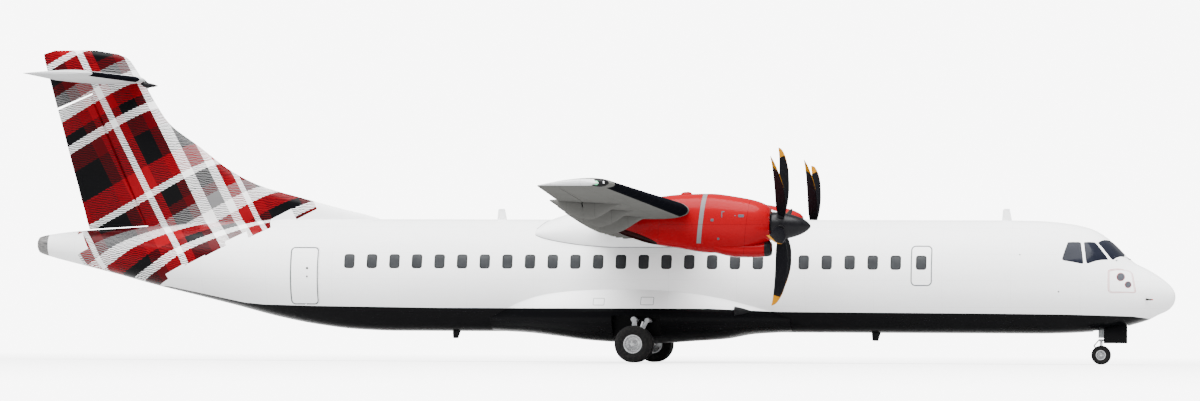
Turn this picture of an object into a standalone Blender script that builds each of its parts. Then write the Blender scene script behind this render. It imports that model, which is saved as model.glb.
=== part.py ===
# Twin-engine turboprop airliner with a high wing and a T-tail, standing on its landing gear.
# Metres. +X is forward, +Y is port and +Z is up. The origin is on the ground, mid length.
# Stations are counted aft from the tip of the nose.

import math

import bmesh
import bpy
from mathutils import Matrix, Vector

# Driving dimensions
LENGTH = 27.166
SPAN = 27.05
TRACK = 4.10
PROPELLER_DIAMETER = 3.93
PROPELLER_SPREAD = 4.05
HUB_HEIGHT = 3.15
WING_CHORD = 2.57
TIP_CHORD = 1.59
TAILPLANE_HALF_SPAN = 3.655
TAILPLANE_HEIGHT = 6.70
MAIN_TYRE_RADIUS = 0.432
MAIN_TYRE_WIDTH = 0.254
NOSE_TYRE_RADIUS = 0.225
NOSE_TYRE_WIDTH = 0.165
NOSE_AXLE_STATION = 1.73
MAIN_AXLE_STATION = 12.50

# Gaps between pieces
SEAT = 0.0003
PLAY = 0.006
SLOT = 0.010
PIN_RADIUS = 0.014

# Stations where the fuselage sections meet
RADOME_END = 0.93
FRONT_END = 9.30
CENTRE_END = 15.50
REAR_END = 26.87
FUSELAGE_SIDES = 32

# station, top, bottom, height of the widest point, half width
FUSELAGE = [
    (0.00, 1.670, 1.515, 1.590, 0.080),
    (0.02, 1.756, 1.428, 1.590, 0.170),
    (0.07, 1.802, 1.381, 1.592, 0.230),
    (0.16, 1.896, 1.287, 1.596, 0.335),
    (0.40, 2.082, 1.169, 1.610, 0.570),
    (0.63, 2.222, 1.051, 1.630, 0.735),
    (0.93, 2.375, 0.955, 1.655, 0.905),
    (1.10, 2.501, 0.908, 1.675, 0.975),
    (1.33, 2.735, 0.861, 1.700, 1.070),
    (1.56, 2.945, 0.820, 1.725, 1.148),
    (1.80, 3.108, 0.780, 1.750, 1.215),
    (2.03, 3.202, 0.762, 1.775, 1.265),
    (2.50, 3.300, 0.736, 1.820, 1.340),
    (3.20, 3.363, 0.720, 1.880, 1.408),
    (4.00, 3.375, 0.720, 1.943, 1.4325),
    (18.40, 3.375, 0.720, 1.943, 1.4325),
    (19.40, 3.375, 0.755, 1.960, 1.428),
    (20.35, 3.375, 0.868, 2.010, 1.405),
    (21.30, 3.370, 1.054, 2.090, 1.345),
    (22.30, 3.330, 1.312, 2.210, 1.235),
    (23.30, 3.270, 1.558, 2.330, 1.080),
    (24.30, 3.205, 1.800, 2.450, 0.895),
    (25.20, 3.145, 2.044, 2.560, 0.705),
    (26.00, 3.093, 2.245, 2.640, 0.535),
    (26.87, 2.990, 2.470, 2.725, 0.320),
    (27.12, 2.930, 2.560, 2.745, 0.215),
    (LENGTH, 2.860, 2.640, 2.750, 0.120),
]

# station, bottom, half width, height where it meets the fuselage side
BELLY_FAIRING = [
    (8.95, 0.735, 1.03, 1.14),
    (9.40, 0.712, 1.22, 1.22),
    (9.89, 0.679, 1.42, 1.35),
    (10.60, 0.558, 1.66, 1.52),
    (11.31, 0.507, 1.81, 1.63),
    (12.20, 0.455, 1.88, 1.70),
    (13.10, 0.475, 1.88, 1.72),
    (13.81, 0.519, 1.83, 1.70),
    (14.53, 0.610, 1.69, 1.665),
    (15.24, 0.690, 1.44, 1.60),
    (15.70, 0.715, 1.22, 1.45),
    (16.05, 0.735, 1.03, 1.28),
]
BELLY_MIDDLE = 1.05

# Wheel wells, first and last station, inner wall, roof. The nose bay's third value is its half width
WHEEL_WELL = (11.92, 13.06, 1.45, 1.10)
NOSE_BAY = (1.10, 1.92, 0.31, 1.25)

# station, top, half width, lower edge
ROOT_FAIRING = [
    (8.50, 3.34, 0.30, 3.10),
    (9.10, 3.50, 0.72, 3.00),
    (9.90, 3.72, 1.02, 2.90),
    (10.90, 3.87, 1.24, 2.74),
    (12.00, 3.91, 1.33, 2.72),
    (13.00, 3.85, 1.33, 2.72),
    (13.80, 3.67, 1.25, 2.74),
    (14.50, 3.47, 1.12, 2.82),
    (15.00, 3.33, 0.96, 2.92),
]
ROOT_MIDDLE = 3.10

# height, leading edge station, trailing edge station, thickness
FIN = [
    (3.00, 18.30, 25.88, 0.30),
    (3.40, 18.90, 26.00, 0.34),
    (3.60, 19.70, 26.05, 0.36),
    (3.87, 20.71, 26.13, 0.37),
    (4.18, 21.80, 26.21, 0.37),
    (4.56, 22.53, 26.32, 0.37),
    (5.11, 23.26, 26.47, 0.36),
    (5.66, 23.99, 26.62, 0.34),
    (6.07, 24.28, 26.74, 0.32),
    (6.70, 24.65, 26.91, 0.28),
    (7.05, 24.87, 27.01, 0.24),
    (7.22, 25.01, 27.05, 0.21),
    (7.34, 25.31, 27.07, 0.16),
    (7.413, 25.80, 26.80, 0.06),
]
RUDDER_AXIS_LOW = (24.400, 3.00)
RUDDER_AXIS_HIGH = (25.862, 6.40)
RUDDER_TOP = 6.36
RUDDER_SWING = 27.0

TAIL_ROOT_LE = 24.59
TAIL_TIP_LE = 25.19
TAIL_TE = 26.75
TAIL_THICKNESS = 0.105

# share of the half span, move of the leading edge, of the trailing edge, thickness share
TAIL_TIP = [(0.0, 0.0, 0.0, 1.0), (0.925, 0.0, 0.0, 1.0), (0.97, 0.04, 0.0, 0.8), (1.0, 0.20, 0.06, 0.25)]

# station, top, bottom, half width
NACELLE = [
    (9.125, 3.56, 2.49, 0.40),
    (9.20, 3.63, 2.455, 0.46),
    (9.45, 3.73, 2.425, 0.53),
    (9.90, 3.82, 2.43, 0.575),
    (10.50, 3.89, 2.53, 0.585),
    (11.20, 3.87, 2.63, 0.575),
    (11.90, 3.78, 2.74, 0.54),
    (12.50, 3.68, 2.93, 0.44),
    (13.05, 3.58, 3.12, 0.28),
    (13.35, 3.50, 3.24, 0.15),
]
NACELLE_SIDES = 24

# Wing
WING_LE = 10.94
WING_LE_HEIGHT = 3.49
WING_INCIDENCE = math.radians(2.0)
WING_DIHEDRAL = math.radians(2.5)
WING_BREAK = 4.66
TIP_LE = 11.65
ROOT_THICKNESS = 0.18
TIP_THICKNESS = 0.13
CAMBER = 0.025
EDGE = 0.008
AIRFOIL_STEPS = [0.0, 0.008, 0.03, 0.07, 0.14, 0.25, 0.40, 0.55, 0.70, 0.85, 1.0]

# share of the way out to the tip, move of the leading edge, of the trailing edge, thickness share
TIP_SHAPE = [
    (0.945, 0.0, 0.0, 1.0),
    (0.975, 0.05, 0.01, 0.85),
    (0.992, 0.16, 0.05, 0.55),
    (1.0, 0.34, 0.14, 0.20),
]

# Flaps and ailerons: distances along the panel and share of the chord
INNER_FLAP = (1.46, 3.46)
OUTER_FLAP = (0.05, 4.60)
AILERON = (4.72, 8.28)
FLAP_LINE = 0.735
AILERON_LINE = 0.72
FLAP_DROP = 0.055
AILERON_SWING = 14.0
ELEVATOR_LINE = 0.66
ELEVATOR = (0.24, 3.30)
ELEVATOR_UP = 23.0
CANOE_HALF_WIDTH = 0.045
LUG_HALF_WIDTH = 0.012

# Doors: first and last station, sill, top, corner radius
PASSENGER_DOOR = (20.05, 20.87, 1.34, 3.00, 0.10)
SERVICE_DOOR = (20.09, 20.75, 1.34, 2.675, 0.09)
CARGO_DOOR = (3.62, 4.90, 1.34, 2.87, 0.10)
EMERGENCY_HATCH = (5.60, 6.095, 1.82, 2.75, 0.10)
DOOR_THICKNESS = 0.08
HATCH_THICKNESS = 0.06
# The airstair swings down past the lower corners of its doorway, so those are tighter than its own
AIRSTAIR_CORNER = 0.06
FLOOR_HEIGHT = 1.335
LOBBY = (19.90, 22.30, 25.20)
HOLD_DEPTH = 0.25

# Door hinges: station, height and side of the axis, its direction, range in degrees, knuckle places
DOOR_HINGES = {
    "passenger_door": (20.25, 1.331, 1, (1, 0, 0), (-122.0, 0.0), (-0.08, 0.08)),
    "service_door": (20.087, 2.0, -1, (0, 0, 1), (0.0, 95.0), (-0.14, 0.14)),
    "cargo_door": (4.26, 2.873, 1, (1, 0, 0), (0.0, 100.0), (-0.24, 0.24)),
}
KNUCKLE_RADIUS = 0.016
KNUCKLE_LENGTH = 0.06

# Folded stairs: count, height of the first above the sill, rise, tread, thickness
STAIRS = (5, 0.22, 0.28, 0.16, 0.03)

# Propeller blade: radius, chord, thickness, pitch from the disc in degrees, sweep
BLADE = [
    (0.20, 0.13, 0.100, 62.0, 0.00),
    (0.42, 0.19, 0.070, 56.0, 0.01),
    (0.75, 0.31, 0.046, 50.0, 0.03),
    (1.15, 0.38, 0.032, 44.0, 0.03),
    (1.50, 0.36, 0.024, 40.0, -0.01),
    (1.78, 0.28, 0.017, 37.0, -0.08),
    (1.92, 0.17, 0.012, 36.0, -0.15),
    (PROPELLER_DIAMETER / 2, 0.06, 0.008, 36.0, -0.21),
]
BLADE_STATION = 8.87
BLADES = 6
FIRST_BLADE = {"right": 28.0, "left": 33.0}
SPINNER_TIP = 8.20
SPINNER_END = 9.105
SHAFT_RADIUS = 0.10

# Engine block: first and last station, half width, lower and upper height
ENGINE = (9.50, 11.25, 0.33, 2.66, 3.22)
ENGINE_ROOM = 0.02
GEARBOX_FRONT = 9.16
GEARBOX_RADIUS = 0.26

# distance from the tip, radius
SPINNER = [(0.02, 0.050), (0.08, 0.105), (0.18, 0.165), (0.34, 0.235), (0.545, 0.292)]
DRUM = [(0.5453, 0.292), (0.72, 0.318), (0.905, 0.326)]

# Landing gear: distance between twin wheels, rim radius, axle radius, axle beyond the wheel, leg's boss
MAIN_WHEELS = (0.42, 0.205, 0.045, 0.11, 0.05)
NOSE_WHEELS = (0.34, 0.105, 0.028, 0.07, 0.055)
BORE_PLAY = 0.0005
MAIN_BOSS_RADIUS = 0.085
NOSE_BOSS_RADIUS = 0.055
LEG_TOP = 1.02
TRUNNION_RISE = 0.575
KNEE = (0.30, 0.55)
STEERING_TOP = 0.62
NOSE_LEG_TOP = 1.22

# Jack pads: station, side, height of the flat face
NOSE_JACK = (3.60, 0.0, 0.700)
BELLY_JACK = (14.10, 0.80, 0.520)
PAD_RADIUS = 0.07


def station(s):
    return LENGTH / 2 - s


def blend(a, b, t):
    return a + (b - a) * t


def row_at(table, s):
    for low, high in zip(table, table[1:]):
        if s <= high[0]:
            t = (s - low[0]) / (high[0] - low[0])
            return tuple(blend(a, b, t) for a, b in zip(low, high))
    return table[-1]


# Meshes

def solid(rings):
    """A closed mesh through rings of points, each with the same count."""
    mesh = bmesh.new()
    loops = [[mesh.verts.new(point) for point in ring] for ring in rings]
    count = len(rings[0])
    for first, second in zip(loops, loops[1:]):
        for i in range(count):
            j = (i + 1) % count
            add_side(mesh, first[i], first[j], second[j], second[i])
    mesh.faces.new(loops[0])
    mesh.faces.new(loops[-1])
    bmesh.ops.recalc_face_normals(mesh, faces=mesh.faces)
    return mesh


def add_side(mesh, a, b, c, d):
    """A four-sided face, split along its shorter diagonal where it is bent."""
    normal = (c.co - a.co).cross(d.co - b.co)
    bend = abs((b.co - a.co).dot(normal.normalized())) if normal.length > 0 else 0.0
    if bend < 0.000002:
        mesh.faces.new((a, b, c, d))
    elif (c.co - a.co).length < (d.co - b.co).length:
        mesh.faces.new((a, b, c))
        mesh.faces.new((a, c, d))
    else:
        mesh.faces.new((a, b, d))
        mesh.faces.new((b, c, d))


def make(name, mesh, paint):
    """An object from a mesh, with its own material."""
    data = bpy.data.meshes.new(name)
    mesh.to_mesh(data)
    mesh.free()
    thing = bpy.data.objects.new(name, data)
    bpy.context.scene.collection.objects.link(thing)
    colour, roughness, metal = paint
    material = bpy.data.materials.new(name)
    material.use_nodes = True
    shader = material.node_tree.nodes["Principled BSDF"]
    shader.inputs["Base Color"].default_value = (*colour, 1.0)
    shader.inputs["Roughness"].default_value = roughness
    shader.inputs["Metallic"].default_value = metal
    data.materials.append(material)
    return thing


def combine(thing, mesh, operation):
    """Apply a Boolean with a mesh to an object, and drop the mesh."""
    tool = make("tool", mesh, WHITE)
    change = thing.modifiers.new("change", "BOOLEAN")
    change.operation = operation
    change.solver = "EXACT"
    change.object = tool
    graph = bpy.context.evaluated_depsgraph_get()
    data = bpy.data.meshes.new_from_object(thing.evaluated_get(graph))
    thing.modifiers.clear()
    old = thing.data
    data.materials.clear()
    for material in old.materials:
        data.materials.append(material)
    for face in data.polygons:
        face.material_index = 0
    thing.data = data
    data.name = thing.name
    old_tool = tool.data
    bpy.data.objects.remove(tool)
    bpy.data.meshes.remove(old_tool)
    bpy.data.meshes.remove(old)


def cut(thing, mesh):
    combine(thing, mesh, "DIFFERENCE")


def join(thing, mesh):
    combine(thing, mesh, "UNION")


def keep(thing, mesh):
    combine(thing, mesh, "INTERSECT")


def smooth(thing, degrees=35.0):
    """Drop the slivers that Booleans leave, and shade the piece smooth."""
    mesh = bmesh.new()
    mesh.from_mesh(thing.data)
    bmesh.ops.dissolve_degenerate(mesh, dist=0.00005, edges=mesh.edges)
    bmesh.ops.dissolve_limit(mesh, angle_limit=0.0005, verts=mesh.verts, edges=mesh.edges)
    mesh.to_mesh(thing.data)
    mesh.free()
    thing.data.shade_smooth()
    thing.data.set_sharp_from_angle(angle=math.radians(degrees))


def box(x, y, z):
    rings = []
    for level in z:
        corners = [(x[0], y[0], level), (x[1], y[0], level), (x[1], y[1], level), (x[0], y[1], level)]
        rings.append([Vector(corner) for corner in corners])
    return solid(rings)


def prism_y(outline, low, high):
    """Extrude an outline of (x, z) points along Y."""
    return solid([[Vector((x, y, z)) for x, z in outline] for y in (low, high)])


def rounded(first, last, low, high, radius, grow=0.0, steps=3):
    """A rounded rectangle of (x, z) points between two stations and two heights."""
    x0, x1 = station(last) - grow, station(first) + grow
    z0, z1 = low - grow, high + grow
    r = radius + grow
    corners = [(x1 - r, z1 - r, 0), (x0 + r, z1 - r, 90), (x0 + r, z0 + r, 180), (x1 - r, z0 + r, 270)]
    points = []
    for x, z, start in corners:
        for i in range(steps + 1):
            a = math.radians(start + 90.0 * i / steps)
            points.append((x + r * math.cos(a), z + r * math.sin(a)))
    return points


def turned(profile, origin, axis, sides=24, phase=0.0):
    """A solid turned about an axis, from (distance along, radius) rows."""
    axis = Vector(axis).normalized()
    side = axis.orthogonal().normalized()
    up = axis.cross(side)
    rings = []
    for along, radius in profile:
        ring = []
        for i in range(sides):
            a = 2 * math.pi * i / sides + phase
            spoke = side * math.cos(a) + up * math.sin(a)
            ring.append(Vector(origin) + axis * along + spoke * radius)
        rings.append(ring)
    return solid(rings)


def rod(start, end, radius, sides=16, end_radius=None):
    start, end = Vector(start), Vector(end)
    last = radius if end_radius is None else end_radius
    return turned([(0.0, radius), ((end - start).length, last)], start, end - start, sides)


def closed_ring(rings):
    """A mesh through rings of points whose last ring meets the first."""
    mesh = bmesh.new()
    loops = [[mesh.verts.new(point) for point in ring] for ring in rings]
    count = len(rings[0])
    for k in range(len(loops)):
        first, second = loops[k], loops[(k + 1) % len(loops)]
        for i in range(count):
            j = (i + 1) % count
            add_side(mesh, first[i], first[j], second[j], second[i])
    bmesh.ops.recalc_face_normals(mesh, faces=mesh.faces)
    return mesh


# Body sections

def oval(x, middle, top, bottom, half_width, sides, upper=2.0, lower=2.2):
    """A section across X: two half ovals that share their widest points."""
    ring = []
    for i in range(sides):
        a = 2 * math.pi * i / sides
        power = upper if math.sin(a) >= 0 else lower
        height = top - middle if math.sin(a) >= 0 else middle - bottom
        across = math.copysign(abs(math.cos(a)) ** (2 / power), math.cos(a))
        rise = math.copysign(abs(math.sin(a)) ** (2 / power), math.sin(a))
        ring.append(Vector((x, half_width * across, middle + height * rise)))
    return ring


def fuselage_ring(s, grow=0.0, sides=FUSELAGE_SIDES):
    s, top, bottom, middle, half_width = row_at(FUSELAGE, s)
    return oval(station(s), middle, top + grow, bottom - grow, half_width + grow, sides)


def fuselage_body(first, last, grow=0.0):
    stops = [first] + [row[0] for row in FUSELAGE if first < row[0] < last] + [last]
    return solid([fuselage_ring(s, grow) for s in stops])


def fuselage_half_width(s, z):
    s, top, bottom, middle, half_width = row_at(FUSELAGE, s)
    power, height = (2.0, top - middle) if z >= middle else (2.2, middle - bottom)
    return half_width * (1 - min(1.0, abs(z - middle) / height) ** power) ** (1 / power)


def belly_body():
    rings = []
    for s, bottom, half_width, meeting in BELLY_FAIRING:
        skin = min(fuselage_half_width(s, meeting), half_width * 0.985)
        rise = (meeting - BELLY_MIDDLE) / math.sqrt(1 - (skin / half_width) ** 2)
        rise = min(rise, 1.0)
        rings.append(oval(station(s), BELLY_MIDDLE, BELLY_MIDDLE + rise, bottom, half_width, 36, 2.0, 2.5))
    return solid(rings)


def root_fairing_body():
    rings = []
    for s, top, half_width, bottom in ROOT_FAIRING:
        middle = min(ROOT_MIDDLE, blend(bottom, top, 0.5))
        rings.append(oval(station(s), middle, top, bottom, half_width, 32, 2.2, 2.2))
    return solid(rings)


def nacelle_body(side):
    rings = []
    for s, top, bottom, half_width in NACELLE:
        middle = blend(bottom, top, 0.5)
        ring = oval(station(s), middle, top, bottom, half_width, NACELLE_SIDES, 2.4, 2.4)
        rings.append([point + Vector((0, side * PROPELLER_SPREAD, 0)) for point in ring])
    return solid(rings)


# Lifting surfaces

def half_thickness(u):
    root = 0.2969 * math.sqrt(u)
    return 5 * (root - 0.1260 * u - 0.3516 * u ** 2 + 0.2843 * u ** 3 - 0.1036 * u ** 4)


def camber_line(u, camber):
    place = 0.4
    if u < place:
        return camber / place ** 2 * (2 * place * u - u * u)
    return camber / (1 - place) ** 2 * (1 - 2 * place + 2 * place * u - u * u)


def airfoil(chord, thickness, camber=0.0, grow=0.0):
    """Points (distance aft, height) round a section, from the trailing edge over the top."""
    points = []
    for u in reversed(AIRFOIL_STEPS):
        half = chord * thickness * half_thickness(u) + EDGE / 2 * u + grow
        points.append((u * (chord + 2 * grow) - grow, chord * camber_line(u, camber) + half))
    for u in AIRFOIL_STEPS:
        half = chord * thickness * half_thickness(u) + EDGE / 2 * u + grow
        points.append((u * (chord + 2 * grow) - grow, chord * camber_line(u, camber) - half))
    if grow == 0.0:
        points.pop(len(AIRFOIL_STEPS))
    return points


def wing_point(aft, height, along, share, side, flat=False):
    """A point of the outer panel, given in its own chord, height and span directions."""
    edge = blend(WING_LE, TIP_LE, share)
    s = edge + aft * math.cos(WING_INCIDENCE) + height * math.sin(WING_INCIDENCE)
    up = height * math.cos(WING_INCIDENCE) - aft * math.sin(WING_INCIDENCE)
    if flat:
        along = (SEAT + up * math.sin(WING_DIHEDRAL)) / math.cos(WING_DIHEDRAL)
    y = WING_BREAK + along * math.cos(WING_DIHEDRAL) - up * math.sin(WING_DIHEDRAL)
    z = WING_LE_HEIGHT + along * math.sin(WING_DIHEDRAL) + up * math.cos(WING_DIHEDRAL)
    return Vector((station(s), side * y, z))


PANEL = (SPAN / 2 - WING_BREAK) / math.cos(WING_DIHEDRAL)


def wing_chord(share):
    return blend(WING_CHORD, TIP_CHORD, share)


def wing_thickness(share):
    return blend(ROOT_THICKNESS, TIP_THICKNESS, share)


def outer_wing_body(side):
    rings = []
    root = airfoil(WING_CHORD, ROOT_THICKNESS, CAMBER)
    rings.append([wing_point(a, h, 0.0, 0.0, side, True) for a, h in root])
    for share, nose, tail, thin in TIP_SHAPE:
        chord = wing_chord(share) - nose - tail
        points = airfoil(chord, wing_thickness(share) * thin * wing_chord(share) / chord, CAMBER)
        rings.append([wing_point(a + nose, h, share * PANEL, share, side) for a, h in points])
    return solid(rings)


def centre_point(aft, height, y):
    s = WING_LE + aft * math.cos(WING_INCIDENCE) + height * math.sin(WING_INCIDENCE)
    z = WING_LE_HEIGHT + height * math.cos(WING_INCIDENCE) - aft * math.sin(WING_INCIDENCE)
    return Vector((station(s), y, z))


def centre_wing_body(half_span, grow=0.0):
    points = airfoil(WING_CHORD, ROOT_THICKNESS, CAMBER, grow)
    return solid([[centre_point(a, h, y) for a, h in points] for y in (-half_span, half_span)])


def fin_ring(z, table_row):
    height, edge, tail, thickness = table_row
    chord = tail - edge
    points = airfoil(chord, thickness / chord)
    return [Vector((station(edge + aft), across, z)) for aft, across in points]


def fin_body(low, high):
    stops = [low] + [row[0] for row in FIN if low < row[0] < high] + [high]
    return solid([fin_ring(z, row_at(FIN, z)) for z in stops])


def tail_edge(share):
    return blend(TAIL_ROOT_LE, TAIL_TIP_LE, share)


def tail_body(grow=0.0):
    rows = [(-share, nose, tail, thin) for share, nose, tail, thin in reversed(TAIL_TIP[1:])] + TAIL_TIP
    rings = []
    for share, nose, tail, thin in rows:
        edge = tail_edge(abs(share)) + nose
        chord = TAIL_TE - tail - edge
        full = TAIL_TE - tail_edge(abs(share))
        points = airfoil(chord, TAIL_THICKNESS * thin * full / chord, 0.0, grow)
        y = share * (TAILPLANE_HALF_SPAN + grow)
        rings.append([Vector((station(edge + aft), y, TAILPLANE_HEIGHT + h)) for aft, h in points])
    return solid(rings)


# Control surfaces that swing about a line inside the section

def swing_split(fixed, full, name, paint, low, high, radii, degrees, flat, margins):
    """Cut a round-nosed moving piece out of a fixed one. flat is the direction across the section."""
    low, high = Vector(low), Vector(high)
    axis = (high - low).normalized()
    across = (Vector(flat) - axis * axis.dot(Vector(flat))).normalized()
    aft = across.cross(axis).normalized()
    if aft.x > 0:
        aft = -aft
    reach, wide, steps = 2.2, 0.6, 10
    free = math.radians(degrees + 3.0)

    ends = [(low + axis * margins[0], radii[0]), (high - axis * margins[1], radii[1])]
    rings = []
    for end, radius in ends:
        far = reach / math.tan(free)
        ring = [end + aft * reach - across * far, end + aft * reach + across * far]
        for i in range(steps + 1):
            a = free - (2 * free + math.pi) * i / steps
            ring.append(end + (aft * math.sin(a) + across * math.cos(a)) * radius)
        rings.append(ring)
    piece = make(name, full, paint)
    keep(piece, solid(rings))

    rings = []
    for end, radius in ((low, radii[0] + PLAY), (high, radii[1] + PLAY)):
        ring = [end + aft * reach - across * wide, end + aft * reach + across * wide, end + across * wide]
        for i in range(steps + 1):
            a = -math.pi * i / steps
            ring.append(end + (aft * math.sin(a) + across * math.cos(a)) * radius)
        ring.append(end - across * wide)
        rings.append(ring)
    cut(fixed, solid(rings))
    return piece, axis


def end_pin(piece, point, axis, gap):
    """A hinge pin from inside the piece out to the fixed wall beside it."""
    axis = Vector(axis).normalized()
    start = Vector(point) - axis * (gap + 0.02)
    join(piece, rod(start, Vector(point) - axis * SEAT, PIN_RADIUS, 10))


# Paints: colour, roughness, metal

WHITE = ((0.80, 0.80, 0.80), 0.30, 0.0)
GREY = ((0.55, 0.57, 0.58), 0.45, 0.0)
RED = ((0.55, 0.02, 0.03), 0.30, 0.0)
BLACK = ((0.02, 0.02, 0.022), 0.35, 0.0)
METAL = ((0.45, 0.45, 0.46), 0.40, 0.9)
DARK = ((0.05, 0.05, 0.055), 0.15, 0.0)
RUBBER = ((0.025, 0.025, 0.027), 0.85, 0.0)


# Fuselage

def wing_room():
    return centre_wing_body(WING_BREAK + 0.5, SEAT)


def window_outline(grow):
    points = [(2.60, 2.43), (2.10, 2.335), (1.50, 2.435), (0.95, 2.46), (0.95, 2.86), (2.47, 2.86)]
    middle = (sum(p[0] for p in points) / 6, sum(p[1] for p in points) / 6)
    moved = []
    for s, z in points:
        away = Vector((s - middle[0], z - middle[1]))
        away = away + away.normalized() * grow
        moved.append((station(middle[0] + away.x), middle[1] + away.y))
    return moved


def shell_of(first, last, outline, side, thickness, name, paint):
    """A piece of the fuselage skin inside an outline of (x, z) points, on one side or both."""
    piece = make(name, fuselage_body(first, last), paint)
    span = (-2.0, 2.0) if side == 0 else (0.3, 2.0) if side > 0 else (-2.0, -0.3)
    keep(piece, prism_y(outline, *span))
    cut(piece, fuselage_body(first - 0.05, last + 0.05, -thickness))
    return piece


def shell_room(first, last, outline, side, thickness):
    """The room that such a piece needs, as a mesh to cut with."""
    span = (-2.0, 2.0) if side == 0 else (0.3, 2.0) if side > 0 else (-2.0, -0.3)
    room = make("room", prism_y(outline, *span), WHITE)
    cut(room, fuselage_body(first, last, -thickness))
    mesh = bmesh.new()
    mesh.from_mesh(room.data)
    bpy.data.objects.remove(room)
    return mesh


def build_fuselage():
    radome = make("radome", fuselage_body(0.0, RADOME_END), WHITE)
    smooth(radome)

    front = make("fuselage_front", fuselage_body(RADOME_END + SEAT, FRONT_END), WHITE)
    cut(front, shell_room(0.9, 2.9, window_outline(SEAT), 0, HATCH_THICKNESS + SEAT))
    glazing = shell_of(0.95, 2.85, window_outline(0.0), 0, HATCH_THICKNESS, "cockpit_glazing", DARK)
    smooth(glazing)

    centre = make("fuselage_centre", fuselage_body(FRONT_END + SEAT, CENTRE_END), WHITE)
    cut(centre, wing_room())

    rear = make("fuselage_rear", fuselage_body(CENTRE_END + SEAT, REAR_END), WHITE)
    lobby = make("lobby", solid([fuselage_ring(s, -0.12, 16) for s in LOBBY]), WHITE)
    keep(lobby, box((station(LOBBY[-1] + 1), station(LOBBY[0] - 1)), (-2, 2), (FLOOR_HEIGHT, 4)))
    room = bmesh.new()
    room.from_mesh(lobby.data)
    bpy.data.objects.remove(lobby)
    cut(rear, room)

    cap = make("tail_cone_cap", fuselage_body(REAR_END + SEAT, LENGTH), METAL)
    smooth(cap)
    return front, centre, rear


def build_doors(front, rear):
    jobs = [
        ("passenger_door", PASSENGER_DOOR, 1, rear, (0.5, 2.0)),
        ("service_door", SERVICE_DOOR, -1, rear, (-2.0, -0.5)),
        ("cargo_door", CARGO_DOOR, 1, front, (HOLD_DEPTH, 2.0)),
    ]
    doors = {}
    for name, (first, last, low, high, radius), side, body, depth in jobs:
        outline = rounded(first, last, low, high, radius)
        stops = (first - 0.3, last + 0.3)
        doors[name] = shell_of(*stops, outline, side, DOOR_THICKNESS, name, WHITE)
        corner = AIRSTAIR_CORNER if name == "passenger_door" else radius
        cut(body, prism_y(rounded(first, last, low, high, corner, PLAY), *depth))
    for side, name in ((-1, "emergency_hatch_right"), (1, "emergency_hatch_left")):
        first, last, low, high, radius = EMERGENCY_HATCH
        stops = (first - 0.3, last + 0.3)
        outline = rounded(first, last, low, high, radius)
        hatch = shell_of(*stops, outline, side, HATCH_THICKNESS, name, WHITE)
        smooth(hatch)
        outline = rounded(first, last, low, high, radius, SEAT)
        cut(front, shell_room(*stops, outline, side, HATCH_THICKNESS + SEAT))
    add_steps(doors["passenger_door"])
    add_knuckles(doors, front, rear)
    for door in doors.values():
        smooth(door)
    smooth(front)
    smooth(rear)


def add_steps(door):
    """Folded stairs on the inner face of the airstair door."""
    first, last, low, high, radius = PASSENGER_DOOR
    count, start, rise, tread, thickness = STAIRS
    for i in range(count):
        z = low + start + rise * i
        outer = fuselage_half_width((first + last) / 2, z) - DOOR_THICKNESS / 2
        x = sorted((station(first + radius), station(last - radius)))
        join(door, box(x, (outer - tread, outer), (z, z + thickness)))


def door_axis(name):
    s, z, side, axis, swing, places = DOOR_HINGES[name]
    return Vector((station(s), side * fuselage_half_width(s, z), z)), Vector(axis)


def add_knuckles(doors, front, rear):
    """Round hinge knuckles in turn on the door and on the body beside it."""
    for name, (s, z, side, axis, swing, places) in DOOR_HINGES.items():
        body = front if name == "cargo_door" else rear
        point, axis = door_axis(name)
        for place in places:
            middle = point + axis * place
            reach = axis * (KNUCKLE_LENGTH + PLAY)
            cut(body, rod(middle - reach, middle, KNUCKLE_RADIUS + PLAY, 10))
            cut(doors[name], rod(middle, middle + reach, KNUCKLE_RADIUS + PLAY, 10))
            start, end = axis * SEAT / 2, axis * KNUCKLE_LENGTH
            join(body, rod(middle + start, middle + end, KNUCKLE_RADIUS, 8))
            join(doors[name], rod(middle - end, middle - start, KNUCKLE_RADIUS, 8))


def build_fairings():
    root = make("wing_root_fairing", root_fairing_body(), WHITE)
    cut(root, fuselage_body(8.0, 16.0, SEAT))
    cut(root, wing_room())
    smooth(root)

    belly = make("belly_fairing", belly_body(), WHITE)
    cut(belly, fuselage_body(8.0, 17.0, SEAT))
    first, last, inner, top = WHEEL_WELL
    for side in (-1, 1):
        cut(belly, box((station(last), station(first)), sorted((side * inner, side * 2.6)), (0.2, top)))
        add_pad(belly, BELLY_JACK, side)
    smooth(belly)


# Wings

def flap_rows(chord, thickness, room):
    """Outline (distance aft, height) of a flap's nose and the space behind it."""
    line = FLAP_LINE * chord
    half = chord * thickness * half_thickness(FLAP_LINE)
    middle = chord * camber_line(FLAP_LINE, CAMBER)
    forward = PLAY if room else 0.0
    return [(line - forward + 0.004, middle - half - 0.5), (line - forward + 0.004, middle - half),
            (line - forward + 0.03, middle - 0.2 * half), (line - forward + 0.10, middle + half),
            (line - forward + 0.10, middle + half + 0.5), (line + 1.5, middle + half + 0.5),
            (line + 1.5, middle - half - 0.5)]


def flap_axis(chord, thickness):
    line = FLAP_LINE * chord
    half = chord * thickness * half_thickness(FLAP_LINE)
    middle = chord * camber_line(FLAP_LINE, CAMBER)
    return line, middle - half - FLAP_DROP


def outer_prism(start, end, side, room):
    rings = []
    for along in (start, end):
        share = along / PANEL
        rows = flap_rows(wing_chord(share), wing_thickness(share), room)
        rings.append([wing_point(a, h, along, share, side) for a, h in rows])
    return solid(rings)


def inner_prism(start, end, side, room):
    rows = flap_rows(WING_CHORD, ROOT_THICKNESS, room)
    return solid([[centre_point(a, h, side * y) for a, h in rows] for y in (start, end)])


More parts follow.
